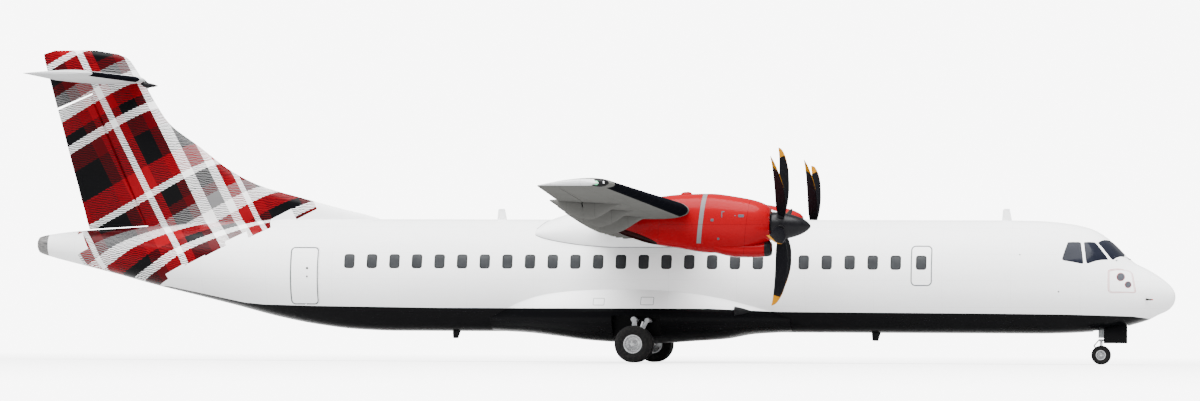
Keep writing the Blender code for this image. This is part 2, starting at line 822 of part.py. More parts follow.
def track_fairing(points, along, width):
    """A canoe under the wing: outline of points in a plane, thickened along a direction."""
    along = Vector(along).normalized()
    return solid([[Vector(p) - along * width for p in points], [Vector(p) + along * width for p in points]])


def add_flap_hinges(wing, flap, place, along):
    """A hinge fairing on the wing and a lug on the flap beside it. place gives points of the section."""
    chord, thickness, locate = place
    line, height = flap_axis(chord, thickness)
    half = chord * thickness * half_thickness(0.55)
    low = chord * camber_line(0.55, CAMBER) - half
    canoe = [(line - 0.78, low + 0.03), (line - 0.50, low - 0.06), (line - 0.15, height - 0.045),
             (line - 0.01, height - 0.035), (line + 0.018, height - 0.01), (line + 0.018, height + 0.012),
             (line - 0.012, height + 0.045), (line - 0.03, height + FLAP_DROP + 0.05)]
    join(wing, track_fairing([locate(a, h) for a, h in canoe], along, CANOE_HALF_WIDTH))
    lug = [(line - 0.016, height - 0.012), (line + 0.014, height - 0.016), (line + 0.12, height + 0.05),
           (line + 0.16, height + 0.10), (line + 0.03, height + 0.09), (line + 0.004, height + 0.02),
           (line - 0.014, height + 0.014)]
    shift = Vector(along).normalized() * (CANOE_HALF_WIDTH + SEAT + LUG_HALF_WIDTH)
    join(flap, track_fairing([locate(a, h) + shift for a, h in lug], along, LUG_HALF_WIDTH))


def build_wings():
    joints = {}
    centre = make("wing_centre", centre_wing_body(WING_BREAK), GREY)
    for side, tag in ((-1, "right"), (1, "left")):
        start, end = INNER_FLAP
        cut(centre, inner_prism(start - SLOT, end + SLOT, side, True))
        flap = make("flap_inner_" + tag, centre_wing_body(WING_BREAK), GREY)
        keep(flap, inner_prism(start, end, side, False))
        for y in (start + 0.35, end - 0.35):
            locate = lambda a, h, y=y, side=side: centre_point(a, h, side * y)
            place = (WING_CHORD, ROOT_THICKNESS, locate)
            add_flap_hinges(centre, flap, place, (0, side, 0))
        line, height = flap_axis(WING_CHORD, ROOT_THICKNESS)
        joints["flap_inner_" + tag] = [centre_point(line, height, side * y) for y in (start, end)]
        smooth(flap)

        outer = make("wing_outer_" + tag, outer_wing_body(side), GREY)
        start, end = OUTER_FLAP
        cut(outer, outer_prism(start - SLOT, end + SLOT, side, True))
        flap = make("flap_outer_" + tag, outer_wing_body(side), GREY)
        keep(flap, outer_prism(start, end, side, False))
        ends = []
        for along in (start, end):
            share = along / PANEL
            line, height = flap_axis(wing_chord(share), wing_thickness(share))
            ends.append(wing_point(line, height, along, share, side))
        joints["flap_outer_" + tag] = ends
        for along in (start + 0.45, (start + end) / 2, end - 0.45):
            share = along / PANEL
            locate = lambda a, h, along=along, share=share, side=side: wing_point(a, h, along, share, side)
            place = (wing_chord(share), wing_thickness(share), locate)
            add_flap_hinges(outer, flap, place, ends[1] - ends[0])
        smooth(flap)

        start, end = AILERON
        axis_ends, radii = [], []
        for along in (start, end):
            share = along / PANEL
            chord, thickness = wing_chord(share), wing_thickness(share)
            middle = chord * camber_line(AILERON_LINE, CAMBER)
            axis_ends.append(wing_point(AILERON_LINE * chord, middle, along, share, side))
            radii.append(chord * thickness * half_thickness(AILERON_LINE) - 0.013)
        piece, axis = swing_split(outer, outer_wing_body(side), "aileron_" + tag, GREY, *axis_ends, radii,
                                  AILERON_SWING, (0, 0, 1), (SLOT, SLOT))
        end_pin(piece, axis_ends[1], axis, SLOT)
        end_pin(piece, axis_ends[0], -axis, SLOT)
        joints["aileron_" + tag] = axis_ends
        smooth(piece)
        smooth(outer)
    smooth(centre)
    return joints


# Tail

def spine_seat(low, axis, radius):
    """The point on the rudder's axis where a pin's flat end just clears the top of the fuselage."""
    s = LENGTH / 2 - low.x
    top, below = row_at(FUSELAGE, s)[1], row_at(FUSELAGE, s + 0.1)[1]
    slope = Vector(((below - top) / 0.1, 0, 1))
    slant = slope - axis * slope.dot(axis)
    return low + axis * ((SEAT + radius * slant.length + top - low.z) / slope.dot(axis))


def build_tail():
    joints = {}
    fin = make("fin", fin_body(3.0, TAILPLANE_HEIGHT), WHITE)
    cut(fin, fuselage_body(17.0, REAR_END, SEAT))
    cut(fin, tail_body(SEAT))
    tip = make("fin_tip", fin_body(TAILPLANE_HEIGHT, 7.413), WHITE)
    cut(tip, tail_body(SEAT))
    smooth(tip)

    low = Vector((station(RUDDER_AXIS_LOW[0]), 0, RUDDER_AXIS_LOW[1]))
    high = Vector((station(RUDDER_AXIS_HIGH[0]), 0, RUDDER_AXIS_HIGH[1]))
    radii = []
    for point in (low, high):
        height, edge, tail, thickness = row_at(FIN, point.z)
        u = (LENGTH / 2 - point.x - edge) / (tail - edge)
        radii.append(thickness * half_thickness(u) - 0.016)
    rudder, axis = swing_split(fin, fin_body(3.0, RUDDER_TOP), "rudder", WHITE, low, high, radii,
                               RUDDER_SWING, (0, 1, 0), (0.0, 0.05))
    cut(rudder, fuselage_body(22.0, REAR_END, 0.02))
    foot = spine_seat(low, axis, PIN_RADIUS)
    join(rudder, rod(foot, foot + axis * 0.2, PIN_RADIUS, 12))
    joints["rudder"] = [foot, high]
    smooth(rudder)
    smooth(fin)

    tailplane = make("tailplane", tail_body(), GREY)
    for side, tag in ((-1, "right"), (1, "left")):
        ends, radii = [], []
        for y in ELEVATOR:
            share = y / TAILPLANE_HALF_SPAN
            edge = tail_edge(share)
            chord = TAIL_TE - edge
            root_chord = TAIL_TE - tail_edge(ELEVATOR[0] / TAILPLANE_HALF_SPAN)
            line = TAIL_TE - (1 - ELEVATOR_LINE) * root_chord * blend(1.0, 0.86, share)
            u = (line - edge) / chord
            ends.append(Vector((station(line), side * y, TAILPLANE_HEIGHT)))
            radii.append(chord * TAIL_THICKNESS * half_thickness(u) - 0.012)
        piece, axis = swing_split(tailplane, tail_body(), "elevator_" + tag, GREY, *ends, radii,
                                  ELEVATOR_UP, (0, 0, 1), (SLOT, SLOT))
        end_pin(piece, ends[1], axis, SLOT)
        end_pin(piece, ends[0], -axis, SLOT)
        joints["elevator_" + tag] = ends
        smooth(piece)
    smooth(tailplane)
    return joints


# Nacelles and propellers

def build_power(side, tag):
    y = side * PROPELLER_SPREAD
    tip = (station(SPINNER_TIP), y, HUB_HEIGHT)
    front = (station(GEARBOX_FRONT), y, HUB_HEIGHT)
    nacelle = make("nacelle_" + tag, nacelle_body(side), RED)
    cut(nacelle, wing_room())
    first, last, half, low, high = ENGINE
    room = ENGINE_ROOM
    x = (station(last + room), station(first - room))
    cut(nacelle, box(x, (y - half - room, y + half + room), (low - SEAT, high + room)))
    inside = (station(first + 0.1), y, HUB_HEIGHT)
    cut(nacelle, rod((station(8.9), y, HUB_HEIGHT), inside, GEARBOX_RADIUS + room, 16))
    intake = oval(station(8.9), 2.60, 2.72, 2.50, 0.24, 12)
    deep = oval(station(9.40), 2.56, 2.63, 2.49, 0.22, 12)
    cut(nacelle, solid([[p + Vector((0, y, 0)) for p in ring] for ring in (intake, deep)]))
    smooth(nacelle)

    block = box((station(last), station(first)), (y - half, y + half), (low, high))
    engine = make("engine_" + tag, block, METAL)
    join(engine, rod(front, (station(first + 0.05), y, HUB_HEIGHT), GEARBOX_RADIUS, 16))

    spinner = make("spinner_" + tag, turned(SPINNER, tip, (-1, 0, 0), 24), BLACK)
    smooth(spinner, 50)
    propeller = make("propeller_" + tag, turned(DRUM, tip, (-1, 0, 0), 24), BLACK)
    end = (front[0] + SEAT, y, HUB_HEIGHT)
    join(propeller, rod((station(SPINNER_END - 0.02), y, HUB_HEIGHT), end, SHAFT_RADIUS, 16))
    for i in range(BLADES):
        join(propeller, blade(FIRST_BLADE[tag] + 360.0 / BLADES * i, y))
    smooth(propeller)


def blade(angle, y):
    """One scimitar blade. Seen from behind, the propeller turns clockwise."""
    turn = Matrix.Rotation(math.radians(angle), 3, "X")
    outline = [(-0.5, 0.0), (-0.1, 0.5), (0.33, 0.34), (0.5, 0.0), (0.3, -0.17), (-0.2, -0.2)]
    rings = []
    for radius, chord, thickness, pitch, sweep in BLADE:
        pitch = math.radians(pitch)
        ring = []
        for along, across in outline:
            edge = along * chord + sweep
            depth = across * thickness
            x = edge * math.sin(pitch) + depth * math.cos(pitch)
            side = depth * math.sin(pitch) - edge * math.cos(pitch)
            point = turn @ Vector((x, side, radius))
            ring.append(point + Vector((station(BLADE_STATION), y, HUB_HEIGHT)))
        rings.append(ring)
    return solid(rings)


# Landing gear

def tyre(name, centre, radius, width, rim_radius, sides=24):
    half = width / 2
    rows = [(-0.66, 0.0), (-1.0, 0.42), (-0.76, 0.88), (-0.30, 1.0), (0.30, 1.0), (0.76, 0.88), (1.0, 0.42),
            (0.66, 0.0)]
    # A flat lies on the ground, where a tyre has its contact patch. The radii are those of the flats
    rings = []
    for i in range(sides):
        a = 2 * math.pi * (i + 0.5) / sides
        ring = []
        for across, out in rows:
            r = blend(rim_radius + SEAT, radius, out) / math.cos(math.pi / sides)
            ring.append(Vector(centre) + Vector((r * math.sin(a), across * half, r * math.cos(a))))
        rings.append(ring)
    made = make(name, closed_ring(rings), RUBBER)
    smooth(made)
    return made


def wheel_pair(name, centre, width, wheels):
    """Two rims on one axle, with collars that run against the leg's boss between them."""
    spacing, rim_radius, shaft_radius, reach, boss = wheels
    out = spacing / 2 + reach
    half = width * 0.40
    inner, outer = spacing / 2 - half, spacing / 2 + half
    dish, hub = outer - 0.05, shaft_radius * 1.6
    right = [(-out, shaft_radius), (-dish, hub), (-dish - 0.01, rim_radius * 0.80),
             (-outer, rim_radius * 0.86), (-outer, rim_radius), (-inner, rim_radius), (-inner, hub),
             (-boss - SEAT, hub), (-boss - SEAT, shaft_radius)]
    left = [(-along_axis, radius) for along_axis, radius in reversed(right)]
    return make(name, turned(right + left, centre, (0, 1, 0), 16), METAL)


def axle_bore(axle, shaft_radius):
    radius = (shaft_radius + BORE_PLAY) / math.cos(math.pi / 16) + SEAT
    return turned([(-0.1, radius), (0.1, radius)], axle, (0, 1, 0), 16)


def build_main_gear(side, tag):
    y = side * TRACK / 2
    axle = Vector((station(MAIN_AXLE_STATION), y, MAIN_TYRE_RADIUS))
    spacing, rim_radius, shaft_radius, reach, boss = MAIN_WHEELS
    smooth(wheel_pair("main_wheel_hubs_" + tag, axle, MAIN_TYRE_WIDTH, MAIN_WHEELS))
    for way, place in ((-1, "inner"), (1, "outer")):
        centre = axle + Vector((0, side * way * spacing / 2, 0))
        tyre("main_tyre_" + place + "_" + tag, centre, MAIN_TYRE_RADIUS, MAIN_TYRE_WIDTH, rim_radius)

    collar = turned([(-boss, MAIN_BOSS_RADIUS), (boss, MAIN_BOSS_RADIUS)], axle, (0, 1, 0), 16)
    leg = make("main_gear_leg_" + tag, collar, GREY)
    knee = axle + Vector((KNEE[0], 0, KNEE[1]))
    trunnion = axle + Vector((-0.02, 0, TRUNNION_RISE))
    wall = -side * (TRACK / 2 - WHEEL_WELL[2] - SEAT)
    join(leg, box((axle.x - 0.045, axle.x + 0.055), (y - 0.045, y + 0.045), (0.47, LEG_TOP)))
    join(leg, rod(axle + Vector((0.04, 0, 0.06)), knee, 0.04, 12))
    for middle, radius in ((trunnion, 0.062), (knee, 0.055)):
        join(leg, rod(middle + Vector((0, side * 0.055, 0)), middle + Vector((0, wall, 0)), radius, 14))
    cut(leg, axle_bore(axle, shaft_radius))
    smooth(leg)


def build_nose_gear():
    axle = Vector((station(NOSE_AXLE_STATION), 0, NOSE_TYRE_RADIUS))
    spacing, rim_radius, shaft_radius, reach, boss = NOSE_WHEELS
    smooth(wheel_pair("nose_wheel_hubs", axle, NOSE_TYRE_WIDTH, NOSE_WHEELS))
    for side, tag in ((-1, "right"), (1, "left")):
        centre = axle + Vector((0, side * spacing / 2, 0))
        tyre("nose_tyre_" + tag, centre, NOSE_TYRE_RADIUS, NOSE_TYRE_WIDTH, rim_radius, 20)

    collar = turned([(-boss, NOSE_BOSS_RADIUS), (boss, NOSE_BOSS_RADIUS)], axle, (0, 1, 0), 16)
    fork = make("nose_steering_leg", collar, METAL)
    join(fork, rod(axle + Vector((0, 0, 0.03)), (axle.x, 0, STEERING_TOP), 0.045, 16))
    join(fork, box((axle.x + 0.03, axle.x + 0.085), (-0.045, 0.045), (0.20, 0.26)))
    cut(fork, axle_bore(axle, shaft_radius))
    smooth(fork)

    half, roof = NOSE_BAY[2] - SEAT, NOSE_BAY[3]
    strut = rod((axle.x, 0, STEERING_TOP + SEAT), (axle.x, 0, NOSE_LEG_TOP), 0.07, 16)
    leg = make("nose_gear_leg", strut, GREY)
    join(leg, rod((axle.x, -half, 1.12), (axle.x, half, 1.12), 0.045, 12))
    join(leg, rod((axle.x, 0, 0.78), (axle.x + 0.50, 0, roof - 0.031), 0.03, 10))
    smooth(leg)


def add_pad(body, place, side):
    """A round jack pad with a flat face below."""
    s, y, z = place
    join(body, rod((station(s), side * y, z), (station(s), side * y, z + 0.08), PAD_RADIUS, 16))


def build_nose_bay(front):
    first, last, half, top = NOSE_BAY
    cut(front, box((station(last), station(first)), (-half, half), (0.2, top)))
    for side, tag in ((-1, "right"), (1, "left")):
        y = sorted((side * (half + 0.004), side * (half + 0.022)))
        panel = box((station(1.66), station(first + 0.03)), y, (0.50, 1.00))
        door = make("nose_gear_door_" + tag, panel, WHITE)
        cut(door, fuselage_body(0.8, 2.4, SEAT))


def build_all():
    for thing in list(bpy.data.objects):
        bpy.data.objects.remove(thing)
    front, centre, rear = build_fuselage()
    build_nose_bay(front)
    add_pad(front, NOSE_JACK, 1)
    build_doors(front, rear)
    smooth(centre)
    build_fairings()
    joints = build_wings()
    joints.update(build_tail())
    for side, tag in ((-1, "right"), (1, "left")):
        build_power(side, tag)
        build_main_gear(side, tag)
    build_nose_gear()
    return joints


HINGES = build_all()
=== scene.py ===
# Looks of the turboprop airliner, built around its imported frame.
# Metres. +X is forward, +Y is port and +Z is up. Stations count aft from the tip of the nose.

import bisect
import math

import bpy
from mathutils import Matrix, Vector


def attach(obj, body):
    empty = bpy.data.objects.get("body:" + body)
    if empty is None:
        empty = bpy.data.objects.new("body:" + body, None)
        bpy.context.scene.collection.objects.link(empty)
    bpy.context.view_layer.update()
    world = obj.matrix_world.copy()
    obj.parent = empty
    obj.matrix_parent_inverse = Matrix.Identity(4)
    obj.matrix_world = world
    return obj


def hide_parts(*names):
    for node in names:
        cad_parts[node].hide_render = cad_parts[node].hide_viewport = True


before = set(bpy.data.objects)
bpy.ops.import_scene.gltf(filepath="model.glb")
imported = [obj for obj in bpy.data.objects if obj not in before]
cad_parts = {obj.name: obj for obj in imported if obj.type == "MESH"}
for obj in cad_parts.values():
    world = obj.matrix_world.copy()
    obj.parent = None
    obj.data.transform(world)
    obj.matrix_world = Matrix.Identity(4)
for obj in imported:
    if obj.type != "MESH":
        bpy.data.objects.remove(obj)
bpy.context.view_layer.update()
print("frame loaded")

length = 27.166
sides = {"right": -1, "left": 1}


# Modelling helpers

def pick(*things):
    for thing in list(bpy.context.selected_objects):
        thing.select_set(False)
    for thing in things:
        thing.select_set(True)
        bpy.context.view_layer.objects.active = things[0]


def newest():
    return bpy.context.view_layer.objects.active


def reshape(thing, *steps):
    # Runs edit mode operators, each on the whole mesh
    pick(thing)
    bpy.ops.object.mode_set(mode="EDIT")
    for operator, settings in steps:
        bpy.ops.mesh.select_all(action="SELECT")
        operator(**settings)
    bpy.ops.object.mode_set(mode="OBJECT")


def tube(rings, capped=True, loop=False):
    # A grid bent through rings of points, closed round each ring
    rings = rings + [rings[0]] if loop else rings
    around = len(rings[0])
    pick()
    bpy.ops.mesh.primitive_grid_add(x_subdivisions=around, y_subdivisions=len(rings) - 1, size=2)
    made = newest()
    for i, vertex in enumerate(made.data.vertices):
        row, column = divmod(i, around + 1)
        vertex.co = rings[row][column % around]
    caps = [(bpy.ops.mesh.fill_holes, {"sides": 0})] if capped else []
    reshape(made, (bpy.ops.mesh.remove_doubles, {"threshold": 0.00001}), *caps,
            (bpy.ops.mesh.normals_make_consistent, {"inside": False}))
    return made


def block(low, high, bevel=0.0):
    pick()
    bpy.ops.mesh.primitive_cube_add(size=1, location=[(a + b) / 2 for a, b in zip(low, high)])
    made = newest()
    made.scale = [b - a for a, b in zip(low, high)]
    bpy.ops.object.transform_apply(location=True, rotation=True, scale=True)
    if bevel:
        reshape(made, (bpy.ops.mesh.bevel, {"offset": bevel, "segments": 2, "affect": "EDGES"}))
    return made


def sideBlock(stations, across, heights, side=1, bevel=0.0):
    # A block between two stations, its distances from the middle taken to one side
    near, far = sorted(side * y for y in across)
    return block((station(stations[1]), near, heights[0]), (station(stations[0]), far, heights[1]), bevel)


def lathed(profile, origin, axis, count=48):
    # Rows of (distance along the axis, radius)
    axis = Vector(axis).normalized()
    side = axis.orthogonal().normalized()
    up = axis.cross(side)
    return tube([[Vector(origin) + axis * along + (side * math.cos(a) + up * math.sin(a)) * radius
                  for a in fullTurn(count)] for along, radius in profile])


def rod(start, end, radius, count=20, bevel=0.004):
    start, end = Vector(start), Vector(end)
    span = (end - start).length
    edge = min(bevel, radius / 3, span / 4)
    rows = [(0, radius - edge), (edge, radius), (span - edge, radius), (span, radius - edge)]
    return lathed(rows, start, end - start, count)


def carve(target, tool, operation="DIFFERENCE"):
    change = target.modifiers.new("cut", "BOOLEAN")
    change.operation = operation
    change.solver = "EXACT"
    change.object = tool
    pick(target)
    bpy.ops.object.modifier_apply(modifier="cut")
    bpy.data.objects.remove(tool)


def finish(name, parts, paint, replaced=(), angle=32, body="airframe"):
    # Joins the parts, smooths and paints them, and hands the piece to the frame
    parts = parts if isinstance(parts, list) else [parts]
    pick(*parts)
    if len(parts) > 1:
        bpy.ops.object.join()
    thing = newest()
    thing.name = name
    thing.data.name = name
    bpy.ops.object.shade_smooth_by_angle(angle=math.radians(angle))
    material, usualSlot = paints[paint]
    thing.data.materials.clear()
    thing.data.materials.append(material)
    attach(thing, body)
    if replaced:
        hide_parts(*replaced)


def station(s):
    return length / 2 - s


def blend(a, b, t):
    return a + (b - a) * t


def bent(value, power):
    return math.copysign(abs(value) ** power, value)


def smoothRows(table):
    # Reads a table of rows between its stations, on smooth curves that never overshoot
    keys = [row[0] for row in table]
    tangents = []
    for column in range(1, len(table[0])):
        values = [row[column] for row in table]
        steps = [(b - a) / (t - s) for a, b, s, t in zip(values, values[1:], keys, keys[1:])]
        slopes = [0.0 if a * b <= 0 else 2 * a * b / (a + b) for a, b in zip(steps, steps[1:])]
        tangents.append([steps[0]] + slopes + [steps[-1]])

    def sample(at):
        at = min(max(at, keys[0]), keys[-1])
        i = min(bisect.bisect_right(keys, at), len(keys) - 1) - 1
        h = keys[i + 1] - keys[i]
        t = (at - keys[i]) / h
        row = []
        for column, slope in enumerate(tangents):
            a, b = table[i][column + 1], table[i + 1][column + 1]
            value = a * (2 * t ** 3 - 3 * t ** 2 + 1) + b * (3 * t ** 2 - 2 * t ** 3)
            row.append(value + h * (slope[i] * (t ** 3 - 2 * t ** 2 + t) + slope[i + 1] * (t ** 3 - t ** 2)))
        return row

    return sample


def fullTurn(count):
    return [2 * math.pi * i / count for i in range(count)]


def spread(first, last, step):
    count = max(1, math.ceil((last - first) / step - 0.001))
    return [blend(first, last, i / count) for i in range(count + 1)]


# Shader helpers

def addNode(tree, kind, **settings):
    made = tree.nodes.new(kind)
    for key, value in settings.items():
        setattr(made, key, value)
    return made


def feed(socket, value):
    if isinstance(value, Wire):
        socket.id_data.links.new(value.socket, socket)
    else:
        socket.default_value = value


def wired(tree, kind, inputs, output=0, **settings):
    made = addNode(tree, kind, **settings)
    for place, value in inputs.items():
        feed(made.inputs[place], value)
    return Wire(made.outputs[output])


def calc(operation, *values):
    tree = next(value for value in values if isinstance(value, Wire)).tree
    return wired(tree, "ShaderNodeMath", dict(enumerate(values)), operation=operation)


def sumOf(operation, swapped=False):
    return lambda *values: calc(operation, *(reversed(values) if swapped else values))


class Wire:
    # A node's output, with which sums are written as sums
    def __init__(self, socket):
        self.socket = socket
        self.tree = socket.id_data

    __add__ = __radd__ = sumOf("ADD")
    __mul__ = __rmul__ = sumOf("MULTIPLY")
    __sub__ = sumOf("SUBTRACT")
    __rsub__ = sumOf("SUBTRACT", True)
    __truediv__ = sumOf("DIVIDE")
    __pow__ = sumOf("POWER")
    __gt__ = sumOf("GREATER_THAN")
    __lt__ = sumOf("LESS_THAN")
    __abs__ = sumOf("ABSOLUTE")


def most(first, *others):
    for other in others:
        first = calc("MAXIMUM", first, other)
    return first


def root(value):
    return calc("SQRT", value)


def sine(value):
    return calc("SINE", value)


def fraction(value):
    return calc("FRACT", value)


def within(value, low, high):
    return (value > low) * (value < high)


def rgba(colour):
    return (*colour, 1.0) if isinstance(colour, tuple) else colour


def tint(mask, first, second):
    return wired(mask.tree, "ShaderNodeMix", {0: mask, 6: rgba(first), 7: rgba(second)}, 2,
                 data_type="RGBA")


def mixValue(mask, first, second):
    return wired(mask.tree, "ShaderNodeMix", {0: mask, 2: first, 3: second}, data_type="FLOAT")


def mapped(value, low, high, toLow=0.0, toHigh=1.0):
    return wired(value.tree, "ShaderNodeMapRange", dict(enumerate((value, low, high, toLow, toHigh))))


def noise(vector, scale, detail=3.0, roughness=0.5):
    return wired(vector.tree, "ShaderNodeTexNoise",
                 {"Vector": vector, "Scale": scale, "Detail": detail, "Roughness": roughness})


def stretched(vector, scale):
    return wired(vector.tree, "ShaderNodeMapping", {"Vector": vector, "Scale": scale})


def ramp(value, stops, constant=False):
    made = addNode(value.tree, "ShaderNodeValToRGB")
    made.color_ramp.interpolation = "CONSTANT" if constant else "LINEAR"
    feed(made.inputs[0], value)
    elements = made.color_ramp.elements
    while len(elements) < len(stops):
        elements.new(1.0)
    for element, (place, colour) in zip(elements, stops):
        element.position = place
        element.color = rgba(colour if isinstance(colour, tuple) else (colour,) * 3)
    return Wire(made.outputs[0])


def axesOf(vector):
    made = addNode(vector.tree, "ShaderNodeSeparateXYZ")
    feed(made.inputs[0], vector)
    return [Wire(socket) for socket in made.outputs]


def startGroup(name, numbers, outputs):
    # A group that takes a Vector and named numbers
    tree = bpy.data.node_groups.new(name, "ShaderNodeTree")
    tree.interface.new_socket(name="Vector", in_out="INPUT", socket_type="NodeSocketVector")
    for label, value in numbers.items():
        socket = tree.interface.new_socket(name=label, in_out="INPUT", socket_type="NodeSocketFloat")
        socket.default_value = value
    for label in outputs:
        kind = "NodeSocketColor" if label == "Color" else "NodeSocketFloat"
        tree.interface.new_socket(name=label, in_out="OUTPUT", socket_type=kind)
    start, end = addNode(tree, "NodeGroupInput"), addNode(tree, "NodeGroupOutput")
    return tree, {label: Wire(start.outputs[label]) for label in ("Vector", *numbers)}, end.inputs


def useGroup(group, place, **values):
    made = addNode(place.tree, "ShaderNodeGroup", node_tree=group)
    for label, value in {"Vector": place, **values}.items():
        feed(made.inputs[label], value)
    return {socket.name: Wire(socket) for socket in made.outputs}


def startMaterial(name, roughness=0.3, metallic=0.0, coat=0.0, specular=0.5):
    material = bpy.data.materials.new(name)
    material.use_nodes = True
    tree = material.node_tree
    tree.nodes.clear()
    output = addNode(tree, "ShaderNodeOutputMaterial")
    shader = addNode(tree, "ShaderNodeBsdfPrincipled")
    tree.links.new(shader.outputs[0], output.inputs[0])
    for label, value in (("Roughness", roughness), ("Metallic", metallic), ("Coat Weight", coat),
                         ("Coat Roughness", 0.06), ("Specular IOR Level", specular)):
        feed(shader.inputs[label], value)
    place = Wire(addNode(tree, "ShaderNodeTexCoord").outputs["Object"])
    return material, shader.inputs, place, axesOf(place)


def surface(inputs, colour, rough, height, strength, distance):
    bump = {"Strength": strength, "Distance": distance, "Height": height}
    feed(inputs["Base Color"], colour)
    feed(inputs["Roughness"], rough)
    feed(inputs["Normal"], wired(height.tree, "ShaderNodeBump", bump))


# Shared effects

def makeGrimeGroup():
    # Faint streaks and cloudy wear, as a shade to multiply by and a change of roughness
    group, given, out = startGroup("paintGrime", {"Amount": 0.1}, ["Shade", "Rough", "Height"])
    streaky = stretched(given["Vector"], (0.35, 1.0, 1.6))
    both = noise(streaky, 1.3, 6.0, 0.6) * 0.6 + noise(streaky, 14.0, 4.0, 0.65) * 0.4
    dark = mapped(both, 0.35, 0.72)
    feed(out["Shade"], 1.0 - dark * given["Amount"])
    feed(out["Rough"], dark * 0.12)
    feed(out["Height"], noise(given["Vector"], 2.2, 2.0))
    return group


def makeSeamGroup():
    # Thin joints between skin panels, every Pitch metres along X and every Course metres of Z, and rivets
    group, given, out = startGroup("panelSeams", {"Pitch": 1.6, "Course": 0.62, "Width": 0.006},
                                   ["Line", "Rivets"])
    x, y, z = axesOf(given["Vector"])
    lines = []
    for axis, pitch in ((x, given["Pitch"]), (z, given["Course"])):
        away = abs(fraction(axis / pitch + 40.37) - 0.5)
        lines.append(away * pitch < given["Width"])
    feed(out["Line"], most(*lines))
    grid = {"Vector": given["Vector"], "Scale": 22.0, "Randomness": 0.0}
    dots = wired(group, "ShaderNodeTexVoronoi", grid, "Distance", feature="F1", distance="EUCLIDEAN")
    feed(out["Rivets"], dots < 0.09)
    return group


def makeFrameGroup():
    # A rounded rectangle's outline in X and Z
    numbers = {"MiddleX": 0.0, "MiddleZ": 0.0, "HalfX": 0.3, "HalfZ": 0.5, "Radius": 0.1, "Width": 0.015}
    group, given, out = startGroup("roundedFrame", numbers, ["Line"])
    x, y, z = axesOf(given["Vector"])
    beyond = [abs(axis - given["Middle" + name]) - (given["Half" + name] - given["Radius"])
              for axis, name in ((x, "X"), (z, "Z"))]
    outside = root(most(beyond[0], 0.0) ** 2.0 + most(beyond[1], 0.0) ** 2.0)
    inside = calc("MINIMUM", most(*beyond), 0.0)
    feed(out["Line"], abs(outside + inside - given["Radius"]) < given["Width"])
    return group


plaid = {
    "turn": 27.0, "period": 3.9, "steepStart": 0.10, "lowStart": 1.50, "twill": 0.044, "twillSlant": 0.42,
    "cell": 0.55, "lower": 6.45, "aft": -9.88, "fore": -4.30, "raggedLow": 0.17, "raggedAft": 0.20,
    "wrap": 0.5, "coneEnds": (21.30, 26.87), "coneWaist": (2.09, 2.725), "coneHalf": (1.345, 0.32),
    "red": (0.17, 0.0004, 0.004), "deep": (0.055, 0.0006, 0.002), "black": (0.0022, 0.0022, 0.0026),
    "white": (0.80, 0.80, 0.80), "grey": (0.13, 0.13, 0.132),
    # each stripe's start, as a share of the period, and its colour
    "steep": [(0.0, "black"), (0.20, "deep"), (0.27, "red"), (0.36, "white"), (0.40, "red"),
              (0.45, "black"), (0.56, "deep"), (0.62, "white"), (0.69, "grey"), (0.78, "white"),
              (0.83, "red"), (0.90, "white"), (0.93, "deep")],
    "low": [(0.0, "red"), (0.08, "black"), (0.27, "deep"), (0.38, "white"), (0.43, "black"), (0.49, "red"),
            (0.58, "white"), (0.66, "grey"), (0.74, "deep"), (0.80, "black"), (0.90, "white"),
            (0.94, "red")],
}


def makePlaidGroup():
    # Two sets of stripes woven over each other, seen from the side and wrapped over the fuselage's shoulders
    group, given, out = startGroup("plaidPaint", {}, ["Color", "Mask"])
    x, y, z = axesOf(given["Vector"])
    c, s = math.cos(math.radians(plaid["turn"])), math.sin(math.radians(plaid["turn"]))

    def slanted(height):
        return x * c + height * s, height * c - x * s

    def stripes(along, name):
        place = fraction((along + (60 + plaid[name + "Start"])) / plaid["period"])
        return ramp(place, [(at, plaid[colour]) for at, colour in plaid[name]], True)

    def ragged(value, cell, pace, size):
        return sine(calc("FLOOR", value / cell) * cell * pace) * size

    # Above the widest height the stripes follow the skin inwards, below it they stay as seen from the side
    ends = [station(at) for at in plaid["coneEnds"]]
    waist = mapped(x, *ends, *plaid["coneWaist"])
    half = mapped(x, *ends, *plaid["coneHalf"])
    reach = mixValue(mapped(z - waist, 0.2, -0.2), abs(y), half)
    u, v = slanted(z - reach * plaid["wrap"])
    wave = noise(given["Vector"], 7.0, 2.0) * 1.6
    twill = fraction((v + u * plaid["twillSlant"]) / plaid["twill"] + wave) > 0.5
    feed(out["Color"], tint(twill, stripes(u, "steep"), stripes(v, "low")))
    # The plaid ends in steps of one cell
    u, v = slanted(z)
    low = ragged(u, plaid["cell"], 5.3, plaid["raggedLow"])
    end = ragged(v, plaid["cell"] * 0.8, 4.1, plaid["raggedAft"])
    feed(out["Mask"], (v > low + plaid["lower"]) * within(u, end + plaid["aft"], end + plaid["fore"]))
    return group


grimeGroup = makeGrimeGroup()
seamGroup = makeSeamGroup()
frameGroup = makeFrameGroup()
plaidGroup = makePlaidGroup()


# Paints

